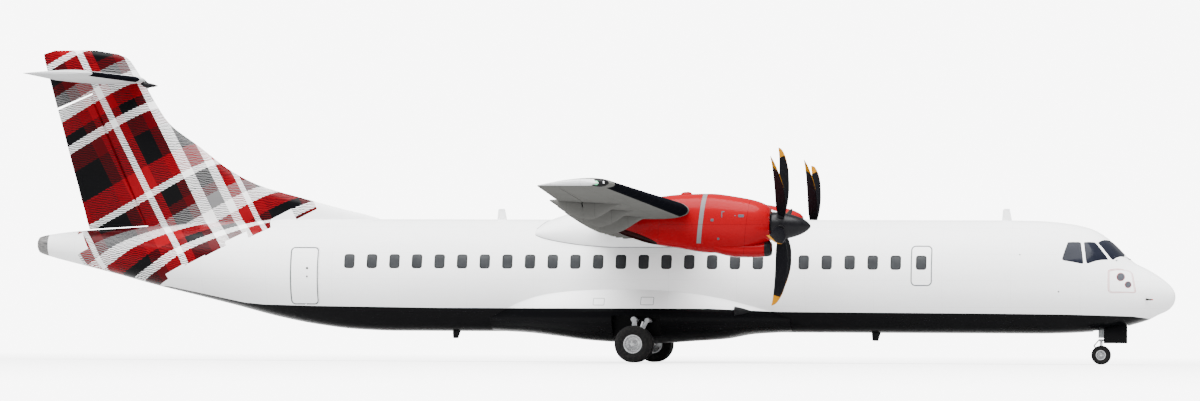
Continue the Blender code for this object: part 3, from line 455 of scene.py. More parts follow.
livery = {
    "white": (0.80, 0.805, 0.81), "belly": (0.0016, 0.0016, 0.0020), "line": (0.11, 0.115, 0.12),
    "seam": 0.88,
    # distances ahead of the middle of the aircraft, with the height at which the black begins
    "bellyLine": [(-11.3, 1.80), (-10.3, 1.76), (-8.4, 1.375), (-7.9, 1.33), (-6.66, 1.30), (-3.7, 1.265),
                  (2.8, 1.265), (4.4, 1.20), (9.3, 1.18), (11.1, 1.166), (12.6, 1.13), (13.2, 1.05),
                  (13.583, 0.90)],
    # first and last station, sill, top, corner radius, side of the aircraft or 0 for both, line's width
    "frames": [(20.12, 20.77, 1.345, 2.675, 0.09, -1, 0.015), (5.62, 6.09, 1.826, 2.745, 0.10, 0, 0.015),
               (13.25, 13.51, 1.34, 1.50, 0.02, 0, 0.006), (12.09, 12.39, 1.35, 1.53, 0.02, 0, 0.006),
               (20.03, 20.89, 1.325, 3.02, 0.11, 1, 0.015), (3.60, 4.92, 1.325, 2.89, 0.11, 1, 0.015)],
}


def makeLivery():
    material, inputs, place, (x, y, z) = startMaterial("liveryPaint", 0.26, 0.0, 0.0, 0.045)
    grime = useGroup(grimeGroup, place, Amount=0.07)
    seams = useGroup(seamGroup, place, Pitch=1.6, Course=0.62, Width=0.0035)
    woven = useGroup(plaidGroup, place)
    colour = tint(woven["Mask"], livery["white"], woven["Color"])
    lines = []
    for first, last, low, high, radius, side, width in livery["frames"]:
        ring = useGroup(frameGroup, place, MiddleX=station((first + last) / 2), MiddleZ=(low + high) / 2,
                        HalfX=(last - first) / 2, HalfZ=(high - low) / 2, Radius=radius, Width=width)
        lines.append(ring["Line"] * (y * side > 0.0) if side else ring["Line"])
    colour = tint(most(*lines), colour, livery["line"])
    rear, front = livery["bellyLine"][0][0], livery["bellyLine"][-1][0]
    stops = [((at - rear) / (front - rear), height / 2) for at, height in livery["bellyLine"]]
    edge = ramp(mapped(x, rear, front), stops) * 2.0
    colour = tint((z < edge) * (x > rear), colour, livery["belly"])
    shade = grime["Shade"] * mixValue(seams["Line"], 1.0, livery["seam"])
    height = grime["Height"] * 0.3 - (seams["Line"] + seams["Rivets"] * 0.15)
    surface(inputs, tint(shade, (0.0, 0.0, 0.0), colour), grime["Rough"] + 0.20, height, 0.25, 0.002)
    return material


wingLook = {
    "edge": 10.94, "break": 4.66, "panel": 8.865, "sweep": 0.71, "bootDepth": 0.19,
    "bootSpans": [(1.45, 3.40), (4.78, 12.95)], "tailEdge": 24.59, "tailSweep": 0.6 / 3.655,
    "tailBootDepth": 0.11, "tailBootSpan": (0.35, 3.35), "tailAbove": 5.5, "tipCap": 13.40,
    "ribPitch": 0.62, "seamPitch": 1.24, "chordPitch": 0.64,
    # the wing's grey below is painted shade, darker than the real paint to stand in for the shadow under the
    # wing
    "paint": (0.090, 0.090, 0.085), "tailPaint": (0.42, 0.425, 0.43), "capPaint": (0.55, 0.555, 0.56),
    "boot": (0.0028, 0.0030, 0.0042), "bootGap": (0.010, 0.010, 0.012),
    "dirt": (0.035, 0.034, 0.032), "tailDirt": (0.16, 0.16, 0.158),
}


def makeWingPaintAndShade():
    # Grey with black rubber boots along the leading edges of wing and tailplane. The wing's grey is darker
    # than its real paint: painted shade standing in for the shadow under the wing.
    look = wingLook
    material, inputs, place, (x, y, z) = startMaterial("wingPaintAndShade", 0.5, 0.0, 0.0, 0.0)
    grime = useGroup(grimeGroup, place, Amount=0.22)
    span = abs(y)
    edge = station(look["edge"]) - most(span - look["break"], 0.0) / look["panel"] * look["sweep"]
    spans = most(*[within(span, *ends) for ends in look["bootSpans"]])
    wingBoot = (x > edge - look["bootDepth"]) * spans
    tailEdge = station(look["tailEdge"]) - span * look["tailSweep"]
    tailBoot = (x > tailEdge - look["tailBootDepth"]) * within(span, *look["tailBootSpan"])
    isTail = z > look["tailAbove"]
    boot = mixValue(isTail, wingBoot, tailBoot)
    seam = most(fraction(span / look["seamPitch"]) < 0.005, fraction((x - edge) / look["chordPitch"]) < 0.008)
    rubber = tint(fraction(span / look["ribPitch"]) < 0.02, look["boot"], look["bootGap"])
    paint = tint(isTail, look["paint"], look["tailPaint"])
    paint = tint(span > look["tipCap"], paint, look["capPaint"])
    dirt = tint(isTail, look["dirt"], look["tailDirt"])
    paint = tint(grime["Shade"] * mixValue(seam, 1.0, 0.35), dirt, paint)
    rough = mixValue(boot, grime["Rough"] + 0.34, 0.42)
    pleats = sine(span * 120.0) * boot
    surface(inputs, tint(boot, paint, rubber), rough, pleats * 0.25 - seam, 0.25, 0.002)
    return material


exhaust = {"s": 12.20, "halfS": 0.50, "y": 0.26, "halfY": 0.26, "z": 2.885, "rise": 0.155, "halfZ": 0.125}
nacelleLook = {
    "spread": 4.05, "bandAt": (10.61, 10.72), "bandFoot": 2.74, "lean": -0.115, "leanFrom": 3.3,
    "joints": (9.62, 10.61, 10.72, 11.62), "sideJoint": 3.17, "sootAt": (11.9, 13.4),
    "sootHeights": (3.45, 2.95),
    "red": (0.205, 0.0003, 0.0035), "band": (0.12, 0.122, 0.126), "joint": (0.10, 0.0004, 0.002),
    # dark is the exhaust recess's black: soot together with painted shade of the open pipe
    "dark": (0.003, 0.003, 0.003), "soot": (0.02, 0.003, 0.003), "dirt": (0.08, 0.0, 0.001),
}


def makeNacellePaint():
    look = nacelleLook
    material, inputs, place, (x, y, z) = startMaterial("nacellePaint", 0.30, 0.0, 0.02, 0.05)
    grime = useGroup(grimeGroup, place, Amount=0.16)
    # The band leans a little aft towards its foot
    lean = x + (z - look["leanFrom"]) * look["lean"]
    first, last = look["bandAt"]
    band = within(lean, station(last), station(first)) * (z > look["bandFoot"])
    colour = tint(band, look["red"], look["band"])
    side = (abs(z - look["sideJoint"]) < 0.003) * (x > station(look["joints"][-1]))
    joints = most(*[abs(lean - station(s)) < 0.004 for s in look["joints"]], side)
    colour = tint(joints, colour, look["joint"])
    # Black inside the exhaust's recess, which is an ellipsoid that rises aft: soot together with painted
    # shade standing in for the depth of the open pipe
    slope = exhaust["rise"] / exhaust["halfS"]
    inside = 0.0
    for value, middle, half in ((x, station(exhaust["s"]), exhaust["halfS"]),
                                (abs(y), look["spread"], exhaust["halfY"] + exhaust["y"]),
                                (z + x * slope, exhaust["z"] + station(exhaust["s"]) * slope,
                                 exhaust["halfZ"])):
        inside = inside + abs((value - middle) / half) ** 2.0
    colour = tint(inside < 1.05, colour, look["dark"])
    first, last = look["sootAt"]
    soot = mapped(x * -1.0 + noise(place, 4.0, 5.0) * 0.6, -station(first), -station(last))
    colour = tint(soot * mapped(z, *look["sootHeights"]), colour, look["soot"])
    colour = tint(grime["Shade"], look["dirt"], colour)
    surface(inputs, colour, grime["Rough"] + 0.20, grime["Height"] * 0.4 - joints, 0.25, 0.003)
    return material


bladeLook = {
    "spread": 4.05, "height": 3.15, "tipAt": 1.72, "edgeAt": 1.30, "edgeWidths": (0.012, 0.10),
    "black": (0.0035, 0.0035, 0.0045), "worn": (0.03, 0.03, 0.032),
    "yellow": (0.27, 0.11, 0.0002), "dull": (0.10, 0.04, 0.003),
}


def makeBladePaint():
    # Black composite with yellow tips; the yellow runs thinly down the leading edge
    look = bladeLook
    material, inputs, place, (x, y, z) = startMaterial("bladePaint", 0.4, 0.0, 0.0, 0.02)
    across, up = abs(y) - look["spread"], z - look["height"]
    radius = root(across * across + up * up)
    u = axesOf(Wire(addNode(material.node_tree, "ShaderNodeTexCoord").outputs["UV"]))[0]
    ragged = radius + noise(place, 9.0, 4.0) * 0.04
    width = mapped(ragged, look["edgeAt"], look["tipAt"], *look["edgeWidths"])
    edge = (abs(u - 0.5) < width) * (radius > look["edgeAt"])
    worn = noise(place, 38.0, 5.0, 0.7) > 0.60
    dark = tint(worn * 0.35, look["black"], look["worn"])
    gold = tint(worn * 0.25, look["yellow"], look["dull"])
    colour = tint(most(ragged > look["tipAt"], edge), dark, gold)
    surface(inputs, colour, mapped(noise(place, 20.0, 4.0), 0.3, 0.8, 0.28, 0.5), noise(place, 90.0, 3.0),
            0.08, 0.001)
    return material


def makePlain(name, colour, second, roughness, metallic, coat, scale, bump, uneven=0.12, specular=0.25):
    # A finish with cloudy colour, uneven gloss and a fine surface
    material, inputs, place = startMaterial(name, roughness, metallic, coat, specular)[:3]
    low, high = max(0.02, roughness - uneven), min(1.0, roughness + uneven)
    surface(inputs, tint(mapped(noise(place, scale, 5.0, 0.6), 0.35, 0.7), colour, second),
            mapped(noise(place, scale * 2.3, 4.0), 0.3, 0.7, low, high), noise(place, scale * 6.0, 4.0),
            bump, 0.002)
    return material


def makeTyreRubber():
    material, inputs, place = startMaterial("tyreRubber", 0.85, 0.0, 0.0, 0.15)[:3]
    dust = noise(place, 16.0, 6.0, 0.65)
    surface(inputs, tint(mapped(dust, 0.45, 0.75), (0.006, 0.006, 0.0065), (0.022, 0.021, 0.019)),
            mapped(dust, 0.3, 0.7, 0.7, 0.95), noise(place, 140.0, 3.0), 0.3, 0.002)
    return material


def makeTailMetal():
    # Heat-stained metal with streaks running aft
    material, inputs, place = startMaterial("tailMetal", 0.42, 0.2)[:3]
    streak = noise(stretched(place, (1.2, 14.0, 14.0)), 2.2, 5.0, 0.6)
    surface(inputs, tint(mapped(streak, 0.35, 0.7), (0.05, 0.05, 0.052), (0.16, 0.155, 0.15)),
            mapped(streak, 0.3, 0.7, 0.28, 0.5), streak, 0.15, 0.002)
    return material


# The paint's usual slot, colour, second colour, roughness, metallic, coat, size of its clouds, bump,
# unevenness of its gloss and specular level
plainFinishes = {
    "spinnerBlack": ("black_composite", (0.003, 0.003, 0.004), (0.005, 0.005, 0.006),
                     0.34, 0, 0, 4, 0.02, 0.08, 0.12),
    "windowGlass": ("glazing", (0.022, 0.023, 0.025), (0.034, 0.036, 0.038),
                    0.18, 0, 0, 3, 0.02, 0.06, 0.05),
    "cockpitGlass": ("glazing", (0.0055, 0.0065, 0.011), (0.012, 0.0135, 0.02),
                     0.10, 0, 0, 1.6, 0.01, 0.03, 0.06),
    "windowSeal": ("glazing", (0.011, 0.0115, 0.0125), (0.017, 0.0175, 0.018),
                   0.5, 0, 0, 20, 0.08, 0.12, 0.05),
    "darkMetal": ("bare_metal", (0.010, 0.0095, 0.009), (0.03, 0.028, 0.026), 0.55, 0.6, 0, 14, 0.15),
    "strutPaint": ("gear_paint", (0.30, 0.31, 0.32), (0.24, 0.25, 0.26), 0.34, 0, 0.2, 9, 0.05),
    "chromeRod": ("bare_metal", (0.72, 0.73, 0.75), (0.62, 0.63, 0.65), 0.10, 1, 0, 12, 0.02, 0.05),
    "wheelMetal": ("wheel_metal", (0.62, 0.63, 0.64), (0.50, 0.50, 0.51), 0.32, 0.9, 0, 18, 0.08),
    "blackTrim": ("glazing", (0.0035, 0.0035, 0.004), (0.007, 0.007, 0.008),
                  0.42, 0, 0, 15, 0.08, 0.12, 0.08),
    "redPaint": ("red_paint", (0.24, 0.0004, 0.004), (0.19, 0.0004, 0.004), 0.28, 0, 0.1, 8, 0.05),
    # grey for the line round the wing root fairing, painted shade in its crease with the skin
    "creaseShadeGrey": ("white_paint", (0.20, 0.205, 0.21), (0.15, 0.155, 0.16), 0.5, 0, 0, 20, 0.05, 0.12, 0.05),
    "paleRed": ("red_paint", (0.42, 0.115, 0.125), (0.36, 0.10, 0.11), 0.4, 0, 0, 8, 0.05, 0.12, 0.05),
    "ventGrey": ("bare_metal", (0.06, 0.064, 0.075), (0.04, 0.043, 0.052), 0.5, 0, 0, 30, 0.1, 0.12, 0.05),
    "whitePaint": ("white_paint", (0.79, 0.795, 0.80), (0.72, 0.725, 0.73), 0.28, 0, 0.1, 6, 0.05),
    "greenLens": ("glazing", (0.03, 0.42, 0.16), (0.05, 0.50, 0.22), 0.08, 0, 1, 8, 0.02, 0.04),
    "redLens": ("glazing", (0.55, 0.02, 0.02), (0.62, 0.04, 0.03), 0.08, 0, 1, 8, 0.02, 0.04),
}
paints = {
    "liveryPaint": (makeLivery(), "white_paint"), "wingPaintAndShade": (makeWingPaintAndShade(), "grey_paint"),
    "nacellePaint": (makeNacellePaint(), "red_paint"), "bladePaint": (makeBladePaint(), "black_composite"),
    "tyreRubber": (makeTyreRubber(), "tyre"), "tailMetal": (makeTailMetal(), "bare_metal"),
}
for name, (usualSlot, *values) in plainFinishes.items():
    paints[name] = (makePlain(name, *values), usualSlot)
print("materials made")


# Body sections

fuselageTable = [
    (0.00, 1.600, 1.580, 1.590, 0.012), (0.006, 1.655, 1.525, 1.590, 0.075),
    (0.02, 1.706, 1.470, 1.590, 0.135), (0.05, 1.766, 1.405, 1.591, 0.200),
    (0.16, 1.896, 1.287, 1.596, 0.335), (0.40, 2.082, 1.169, 1.610, 0.570),
    (0.63, 2.222, 1.051, 1.630, 0.735), (0.93, 2.375, 0.955, 1.655, 0.905),
    (1.10, 2.501, 0.908, 1.675, 0.975), (1.33, 2.735, 0.861, 1.700, 1.070),
    (1.56, 2.945, 0.820, 1.725, 1.148), (1.80, 3.108, 0.780, 1.750, 1.215),
    (2.03, 3.202, 0.762, 1.775, 1.265), (2.50, 3.300, 0.736, 1.820, 1.340),
    (3.20, 3.363, 0.720, 1.880, 1.408), (4.00, 3.375, 0.720, 1.943, 1.4325),
    (18.40, 3.375, 0.720, 1.943, 1.4325), (19.40, 3.375, 0.755, 1.960, 1.428),
    (20.35, 3.375, 0.868, 2.010, 1.405), (21.30, 3.370, 1.054, 2.090, 1.345),
    (22.30, 3.330, 1.312, 2.210, 1.235), (23.30, 3.270, 1.558, 2.330, 1.080),
    (24.30, 3.205, 1.800, 2.450, 0.895), (25.20, 3.145, 2.044, 2.560, 0.705),
    (26.00, 3.093, 2.245, 2.640, 0.535), (26.87, 2.990, 2.470, 2.725, 0.320),
    (27.12, 2.930, 2.560, 2.745, 0.215), (27.166, 2.860, 2.640, 2.750, 0.120),
]
fuselageRow = smoothRows(fuselageTable)
body = {"radomeEnd": 0.93, "rearEnd": 26.87, "around": 96, "lower": 2.2}


def oval(x, middle, top, bottom, half, count, upper=2.0, lower=2.2, y=0.0):
    ring = []
    for a in fullTurn(count):
        above = math.sin(a) >= 0
        power = 2 / (upper if above else lower)
        height = top - middle if above else middle - bottom
        ring.append(Vector((x, y + half * bent(math.cos(a), power),
                            middle + height * bent(math.sin(a), power))))
    return ring


def ovals(rows, count, upper, lower, y):
    # Rows of (station, top, bottom, half width)
    return [oval(station(s), blend(bottom, top, 0.5), top, bottom, half, count, upper, lower, y)
            for s, top, bottom, half in rows]


def fuselageRing(s, grow=0.0, count=body["around"]):
    top, bottom, middle, half = fuselageRow(s)
    return oval(station(s), middle, top + grow, bottom - grow, half + grow, count, 2.0, body["lower"])


def fuselageSolid(first, last, grow=0.0, step=0.12):
    stops = spread(first, last, step)
    if first == 0.0:
        stops = [0.0, 0.001, 0.003, 0.006, 0.011, 0.02, 0.035, 0.055, 0.08, 0.11] + spread(0.15, last, 0.05)
    return tube([fuselageRing(s, grow) for s in stops])


def skinAngle(s, z):
    top, bottom, middle, half = fuselageRow(s)
    if z >= middle:
        return math.asin(min(1.0, (z - middle) / (top - middle)))
    return -math.asin(min(1.0, ((middle - z) / (middle - bottom)) ** (body["lower"] / 2)))


def skinPoint(s, angle, side, lift=0.0):
    def at(s, angle):
        top, bottom, middle, half = fuselageRow(s)
        power = 2 / (2.0 if angle >= 0 else body["lower"])
        height = top - middle if angle >= 0 else middle - bottom
        return Vector((station(s), side * half * abs(math.cos(angle)) ** power,
                       middle + height * bent(math.sin(angle), power)))

    point = at(s, angle)
    if lift == 0.0:
        return point
    along, around = at(s + 0.01, angle) - at(s - 0.01, angle), at(s, angle + 0.01) - at(s, angle - 0.01)
    normal = along.cross(around).normalized()
    if normal.y * side < 0 or (abs(normal.y) < 0.001 and normal.z < 0):
        normal = -normal
    return point + normal * lift


def halfWidthAt(s, z):
    return abs(skinPoint(s, skinAngle(s, z), 1).y)


# Outlines on the skin: points of (station, girth), where girth is the section's angle times a fixed radius

girth = 1.4
centrePost = 0.045


def insetOutline(points, distance):
    # Moves each edge of a convex outline inwards
    area = sum(a[0] * b[1] - b[0] * a[1] for a, b in zip(points, points[1:] + points[:1]))
    turn = 1 if area > 0 else -1
    moved = []
    count = len(points)
    for i in range(count):
        before, here, after = Vector(points[i - 1]), Vector(points[i]), Vector(points[(i + 1) % count])
        first, second = (here - before).normalized(), (after - here).normalized()
        normalA, normalB = Vector((-first.y, first.x)) * turn, Vector((-second.y, second.x)) * turn
        middle = (normalA + normalB).normalized()
        moved.append(tuple(here + middle * distance / max(0.3, middle.dot(normalA))))
    return moved


def roundOutline(points, radius, steps=5, between=6):
    # Turns each corner into an arc, with a few points between, so that the sides follow the skin
    arcs = []
    count = len(points)
    for i in range(count):
        before, here, after = Vector(points[i - 1]), Vector(points[i]), Vector(points[(i + 1) % count])
        back, on = (before - here), (after - here)
        half = back.angle(on) / 2
        reach = min(radius / math.tan(half), back.length * 0.45, on.length * 0.45)
        start, end = here + back.normalized() * reach, here + on.normalized() * reach
        arc = []
        for k in range(steps + 1):
            t = k / steps
            arc.append(start * (1 - t) ** 2 + here * 2 * t * (1 - t) + end * t ** 2)
        arcs.append(arc)
    done = []
    for arc, following in zip(arcs, arcs[1:] + arcs[:1]):
        done += [tuple(point) for point in arc]
        for k in range(1, between + 1):
            done.append(tuple(arc[-1].lerp(following[0], k / (between + 1))))
    return done


def onSkin(outline, side, lift):
    return [skinPoint(s, q / girth, side, lift) for s, q in outline]


def shrunk(outline, share):
    middle = [sum(p[i] for p in outline) / len(outline) for i in (0, 1)]
    return [(blend(middle[0], s, share), blend(middle[1], q, share)) for s, q in outline]


def angleFrom(s, y):
    # The section's angle at a distance from the middle
    return math.acos(y / fuselageRow(s)[3])


def cornersOf(places):
    return [(s, (angleFrom(s, centrePost) if z is None else skinAngle(s, z)) * girth) for s, z in places]


def rectangle(s, z, halfS, halfZ):
    return cornersOf([(s + a * halfS, z + b * halfZ) for a, b in ((-1, -1), (1, -1), (1, 1), (-1, 1))])


def insetRound(corners, distance, radius, steps):
    return roundOutline(insetOutline(corners, distance), max(0.01, radius - distance), steps)


def paneOnSkin(corners, side, radius, rim, lift, deep, steps=5):
    # A pane with its rim set in from an outline, its inside following the skin
    outer = insetRound(corners, rim, radius, steps)
    rings = [onSkin(outer, side, -deep), onSkin(outer, side, lift)]
    return tube(rings + [onSkin(shrunk(outer, share), side, lift)
                         for share in (0.97, 0.8, 0.6, 0.4, 0.2, 0.02)])


def rimOnSkin(corners, side, radius, width, lift, deep, steps=5):
    # A narrow frame that follows an outline
    outer = roundOutline(corners, radius, steps)
    inner, edge = (insetRound(corners, width * share, radius, steps) for share in (1.0, 0.25))
    rings = ((outer, -deep), (outer, lift * 0.4), (edge, lift), (inner, lift), (inner, -deep))
    return tube([onSkin(outline, side, rise) for outline, rise in rings], False, True)


# Fuselage

# A door's stations, heights and corner radius, its side, the depth of its doorway, its hinge, and the
# steps or ribs on its inside
doors = {
    "passenger_door": {"first": 20.05, "last": 20.87, "low": 1.34, "high": 3.00, "radius": 0.10, "side": 1,
                       "doorway": 0.06, "deep": (0.5, 2.0), "hinge": (20.25, 1.331), "axis": (1, 0, 0),
                       "knuckles": (-0.08, 0.08), "bars": (1.56, 1.84, 2.12, 2.40, 2.68), "barInset": 0.10,
                       "barDepths": (0.20, 0.04), "barHeights": (0.0, 0.03)},
    "service_door": {"first": 20.09, "last": 20.75, "low": 1.34, "high": 2.675, "radius": 0.09, "side": -1,
                     "doorway": 0.09, "deep": (0.5, 2.0), "hinge": (20.087, 2.0), "axis": (0, 0, 1),
                     "knuckles": (-0.14, 0.14), "bars": (1.67375, 2.0075, 2.34125), "barInset": 0.08,
                     "barDepths": (0.09, 0.05), "barHeights": (-0.02, 0.02)},
    "cargo_door": {"first": 3.62, "last": 4.90, "low": 1.34, "high": 2.87, "radius": 0.10, "side": 1,
                   "doorway": 0.10, "deep": (0.25, 2.0), "hinge": (4.26, 2.873), "axis": (1, 0, 0),
                   "knuckles": (-0.24, 0.24), "bars": (1.7225, 2.105, 2.4875), "barInset": 0.08,
                   "barDepths": (0.09, 0.05), "barHeights": (-0.02, 0.02)},
}
doorMake = {"play": 0.006, "thickness": 0.08, "floor": 1.335, "lobby": (19.90, 22.30, 25.20),
            "lobbyWall": 0.12}
noseBay = {"first": 1.10, "last": 1.92, "half": 0.31, "top": 1.25}
bayFoot = 0.2


def doorPrism(spec, radius, grow, deep, steps=8):
    # The door's rounded outline, drawn out across the aircraft
    x0, x1 = station(spec["last"]) - grow, station(spec["first"]) + grow
    z0, z1 = spec["low"] - grow, spec["high"] + grow
    r = radius + grow
    points = []
    for x, z, start in ((x1 - r, z1 - r, 0), (x0 + r, z1 - r, 90), (x0 + r, z0 + r, 180),
                        (x1 - r, z0 + r, 270)):
        for i in range(steps + 1):
            a = math.radians(start + 90.0 * i / steps)
            points.append((x + r * math.cos(a), z + r * math.sin(a)))
    return tube([[Vector((x, y, z)) for x, z in points] for y in sorted(spec["side"] * y for y in deep)])


def makeFuselage():
    finish("noseRadome", fuselageSolid(0.0, body["radomeEnd"]), "liveryPaint", ["radome"])
    skin = fuselageSolid(body["radomeEnd"], body["rearEnd"], 0.0, 0.15)
    for spec in doors.values():
        carve(skin, doorPrism(spec, spec["doorway"], doorMake["play"], spec["deep"]))
    first, middle, last = doorMake["lobby"]
    stops = spread(first, middle, 0.4) + spread(middle + 0.4, last, 0.5)
    lobby = tube([fuselageRing(s, -doorMake["lobbyWall"], 48) for s in stops])
    carve(lobby, block((-20, -2, doorMake["floor"]), (20, 2, 4)), "INTERSECT")
    carve(skin, lobby)
    carve(skin, sideBlock((noseBay["first"], noseBay["last"]), (-noseBay["half"], noseBay["half"]),
                          (bayFoot, noseBay["top"])))
    finish("fuselageSkin", skin, "liveryPaint", ["fuselage_front", "fuselage_centre", "fuselage_rear"], 30)
    cap = fuselageSolid(body["rearEnd"] + 0.001, length, 0.0, 0.02)
    finish("tailConeCap", cap, "tailMetal", ["tail_cone_cap"], 60)


def makeDoors():
    for name, spec in doors.items():
        first, last, side = spec["first"], spec["last"], spec["side"]
        panel = fuselageSolid(first - 0.3, last + 0.3, 0.0, 0.06)
        carve(panel, doorPrism(spec, spec["radius"], 0.0, (0.3, 2.0)), "INTERSECT")
        carve(panel, fuselageSolid(first - 0.4, last + 0.4, -doorMake["thickness"], 0.3))
        parts = [panel]
        inset, (under, over) = spec["barInset"], spec["barHeights"]
        for z in spec["bars"]:
            wide = halfWidthAt((first + last) / 2, z)
            parts.append(sideBlock((first + inset, last - inset),
                                   [wide - depth for depth in spec["barDepths"]],
                                   (z + under, z + over), side, 0.006))
        s, z = spec["hinge"]
        axis = Vector(spec["axis"])
        origin = Vector((station(s), side * halfWidthAt(s, z), z))
        for place in spec["knuckles"]:
            knuckle = origin + axis * place
            parts.append(rod(knuckle - axis * 0.06, knuckle - axis * 0.0005, 0.014, 12))
        finish(name + "Leaf", parts, "liveryPaint", [name], 30, name)


# Each door's handle by station and height
handles = {"passenger_door": (20.46, 2.45), "cargo_door": (4.26, 1.62)}
# Half length, half height and corner radius of the recess and of the pull in it
handleMake = {"recess": (0.055, 0.028, 0.02), "pull": (0.035, 0.013, 0.008), "rim": 0.012, "deep": 0.01}


def makeHandles():
    # Flush, each in a small dark recess
    deep = handleMake["deep"]
    for i, (door, place) in enumerate(handles.items()):
        side = doors[door]["side"]
        *size, radius = handleMake["recess"]
        plate = rimOnSkin(rectangle(*place, *size), side, radius, handleMake["rim"], 0.003, deep, 4)
        *size, radius = handleMake["pull"]
        pull = paneOnSkin(rectangle(*place, *size), side, radius, 0.001, 0.004, deep, 3)
        finish(f"doorHandle{i}", [plate, pull], "darkMetal", (), 40, door)


windows = {"first": 6.455, "pitch": 0.5377, "count": 25, "inHatch": 5.86, "z": 2.358, "halfS": 0.125,
           "halfZ": 0.168, "radius": 0.075, "rim": 0.020, "deep": 0.012, "sealLift": 0.004, "paneLift": 0.002}
hatch = {"s": 5.8475, "z": 2.285, "halfS": 0.2435, "halfZ": 0.461, "radius": 0.10}


def makeWindows():
    radius, rim, deep = windows["radius"], windows["rim"], windows["deep"]
    stations = [windows["first"] + windows["pitch"] * i for i in range(windows["count"])]
    for tag, side in sides.items():
        rims, panes = [], []
        for s in stations + [windows["inHatch"]]:
            corners = rectangle(s, windows["z"], windows["halfS"], windows["halfZ"])
            rims.append(rimOnSkin(corners, side, radius, rim, windows["sealLift"], deep, 6))
            panes.append(paneOnSkin(corners, side, radius, rim * 0.9, windows["paneLift"], deep, 6))
        finish("cabinWindowSeals_" + tag, rims, "windowSeal", (), 40)
        finish("cabinWindowPanes_" + tag, panes, "windowGlass", (), 60)
    for tag, side in sides.items():
        corners = rectangle(hatch["s"], hatch["z"], hatch["halfS"], hatch["halfZ"])
        panel = paneOnSkin(corners, side, hatch["radius"], 0.001, 0.0012, 0.02, 8)
        finish("emergencyHatch_" + tag, panel, "liveryPaint", ["emergency_hatch_" + tag], 60)


# Corners of each window as station and height, the height left open at the centre post
cockpit = {
    "sideRear": [(2.606, 2.43), (2.098, 2.337), (2.175, 2.856), (2.472, 2.854)],
    "sideFront": [(2.034, 2.335), (1.522, 2.442), (1.849, 2.854), (2.108, 2.852)],
    "screen": [(1.437, 2.425), (1.005, None), (1.440, None), (1.784, 2.845)],
}
cockpitMake = {"radius": 0.05, "seal": 0.012, "pane": 0.010, "deep": 0.02}
# The blade runs between the stations first and last, and the arm meets it a share of the way along
wiper = {"first": 1.06, "firstOut": 0.12, "last": 1.375, "lastHeight": 2.425, "lift": 0.018, "foot": 1.14,
         "footOut": 0.40, "share": 0.45, "blade": 0.008, "arm": 0.006}


def makeCockpitWindows():
    panes, rims, radius, deep = [], [], cockpitMake["radius"], cockpitMake["deep"]
    for side in sides.values():
        for places in cockpit.values():
            corners = cornersOf(places)
            rims.append(rimOnSkin(corners, side, radius, cockpitMake["seal"], 0.004, deep, 6))
            panes.append(paneOnSkin(corners, side, radius, cockpitMake["pane"], 0.0025, deep, 6))
    finish("cockpitPanes", panes, "cockpitGlass", ["cockpit_glazing"], 60)
    finish("cockpitSeals", rims, "blackTrim", (), 40)
    wipers = []
    for side in sides.values():
        start = skinPoint(wiper["first"], angleFrom(wiper["first"], wiper["firstOut"]), side, wiper["lift"])
        end = skinPoint(wiper["last"], skinAngle(wiper["last"], wiper["lastHeight"]), side, wiper["lift"])
        foot = skinPoint(wiper["foot"], angleFrom(wiper["foot"], wiper["footOut"]), side)
        wipers.append(rod(start, end, wiper["blade"], 10))
        wipers.append(rod(foot, start.lerp(end, wiper["share"]), wiper["arm"], 10))
    finish("wipers", wipers, "blackTrim", (), 40)


makeFuselage()
makeDoors()
makeHandles()
makeWindows()
makeCockpitWindows()
print("fuselage made")


# Fairings

# Stations with the bottom, the half width and the height at which the fairing meets the skin
bellyTable = [
    (8.95, 0.735, 1.03, 1.14), (9.40, 0.712, 1.22, 1.22), (9.89, 0.679, 1.42, 1.35),
    (10.60, 0.558, 1.66, 1.52), (11.31, 0.507, 1.81, 1.63), (12.20, 0.455, 1.88, 1.70),
    (13.10, 0.475, 1.88, 1.72), (13.81, 0.519, 1.83, 1.70), (14.53, 0.610, 1.69, 1.665),
    (15.24, 0.690, 1.44, 1.60), (15.70, 0.715, 1.22, 1.45), (16.05, 0.735, 1.03, 1.28),
]
bellyMiddle = 1.05
bellyRow = smoothRows(bellyTable)
wheelWell = {"first": 11.92, "last": 13.06, "inner": 1.45, "outer": 2.6, "top": 1.10}
# Stations with the top, the half width and the bottom
rootTable = [
    (8.50, 3.34, 0.30, 3.05), (9.10, 3.50, 0.72, 2.80), (9.90, 3.72, 1.02, 2.50), (10.90, 3.87, 1.24, 2.32),
    (12.00, 3.91, 1.33, 2.26), (13.00, 3.85, 1.33, 2.27), (13.80, 3.67, 1.26, 2.34),
    (14.40, 3.48, 1.17, 2.50), (14.80, 3.33, 1.08, 2.68), (15.00, 3.18, 0.98, 2.84),
]
rootRow = smoothRows(rootTable)
rootMiddle = 3.10


def bellySection(s):
    # Bottom, half width, and how far the upper half would rise to meet the skin
    bottom, half, meeting = bellyRow(s)
    skin = min(halfWidthAt(s, meeting), half * 0.985)
    return bottom, half, min((meeting - bellyMiddle) / math.sqrt(1 - (skin / half) ** 2), 1.0)


def rootSection(s):
    top, half, bottom = rootRow(s)
    return top, half, bottom, min(rootMiddle, blend(bottom, top, 0.5))


def rootEdge(lower):
    # Where the root fairing's surface meets the skin, as points of (station, height)
    edge = []
    for s in spread(9.3, 14.97, 0.07):
        top, half, bottom, middle = rootSection(s)
        end = bottom if lower else top
        if end > 3.36:
            continue
        inside, outside = end, middle
        for i in range(24):
            z = (inside + outside) / 2
            wide = half * (1 - min(1.0, abs(z - middle) / abs(end - middle)) ** 2.2) ** (1 / 2.2)
            if wide > halfWidthAt(s, z):
                outside = z
            else:
                inside = z
        edge.append((s, outside))
    return edge


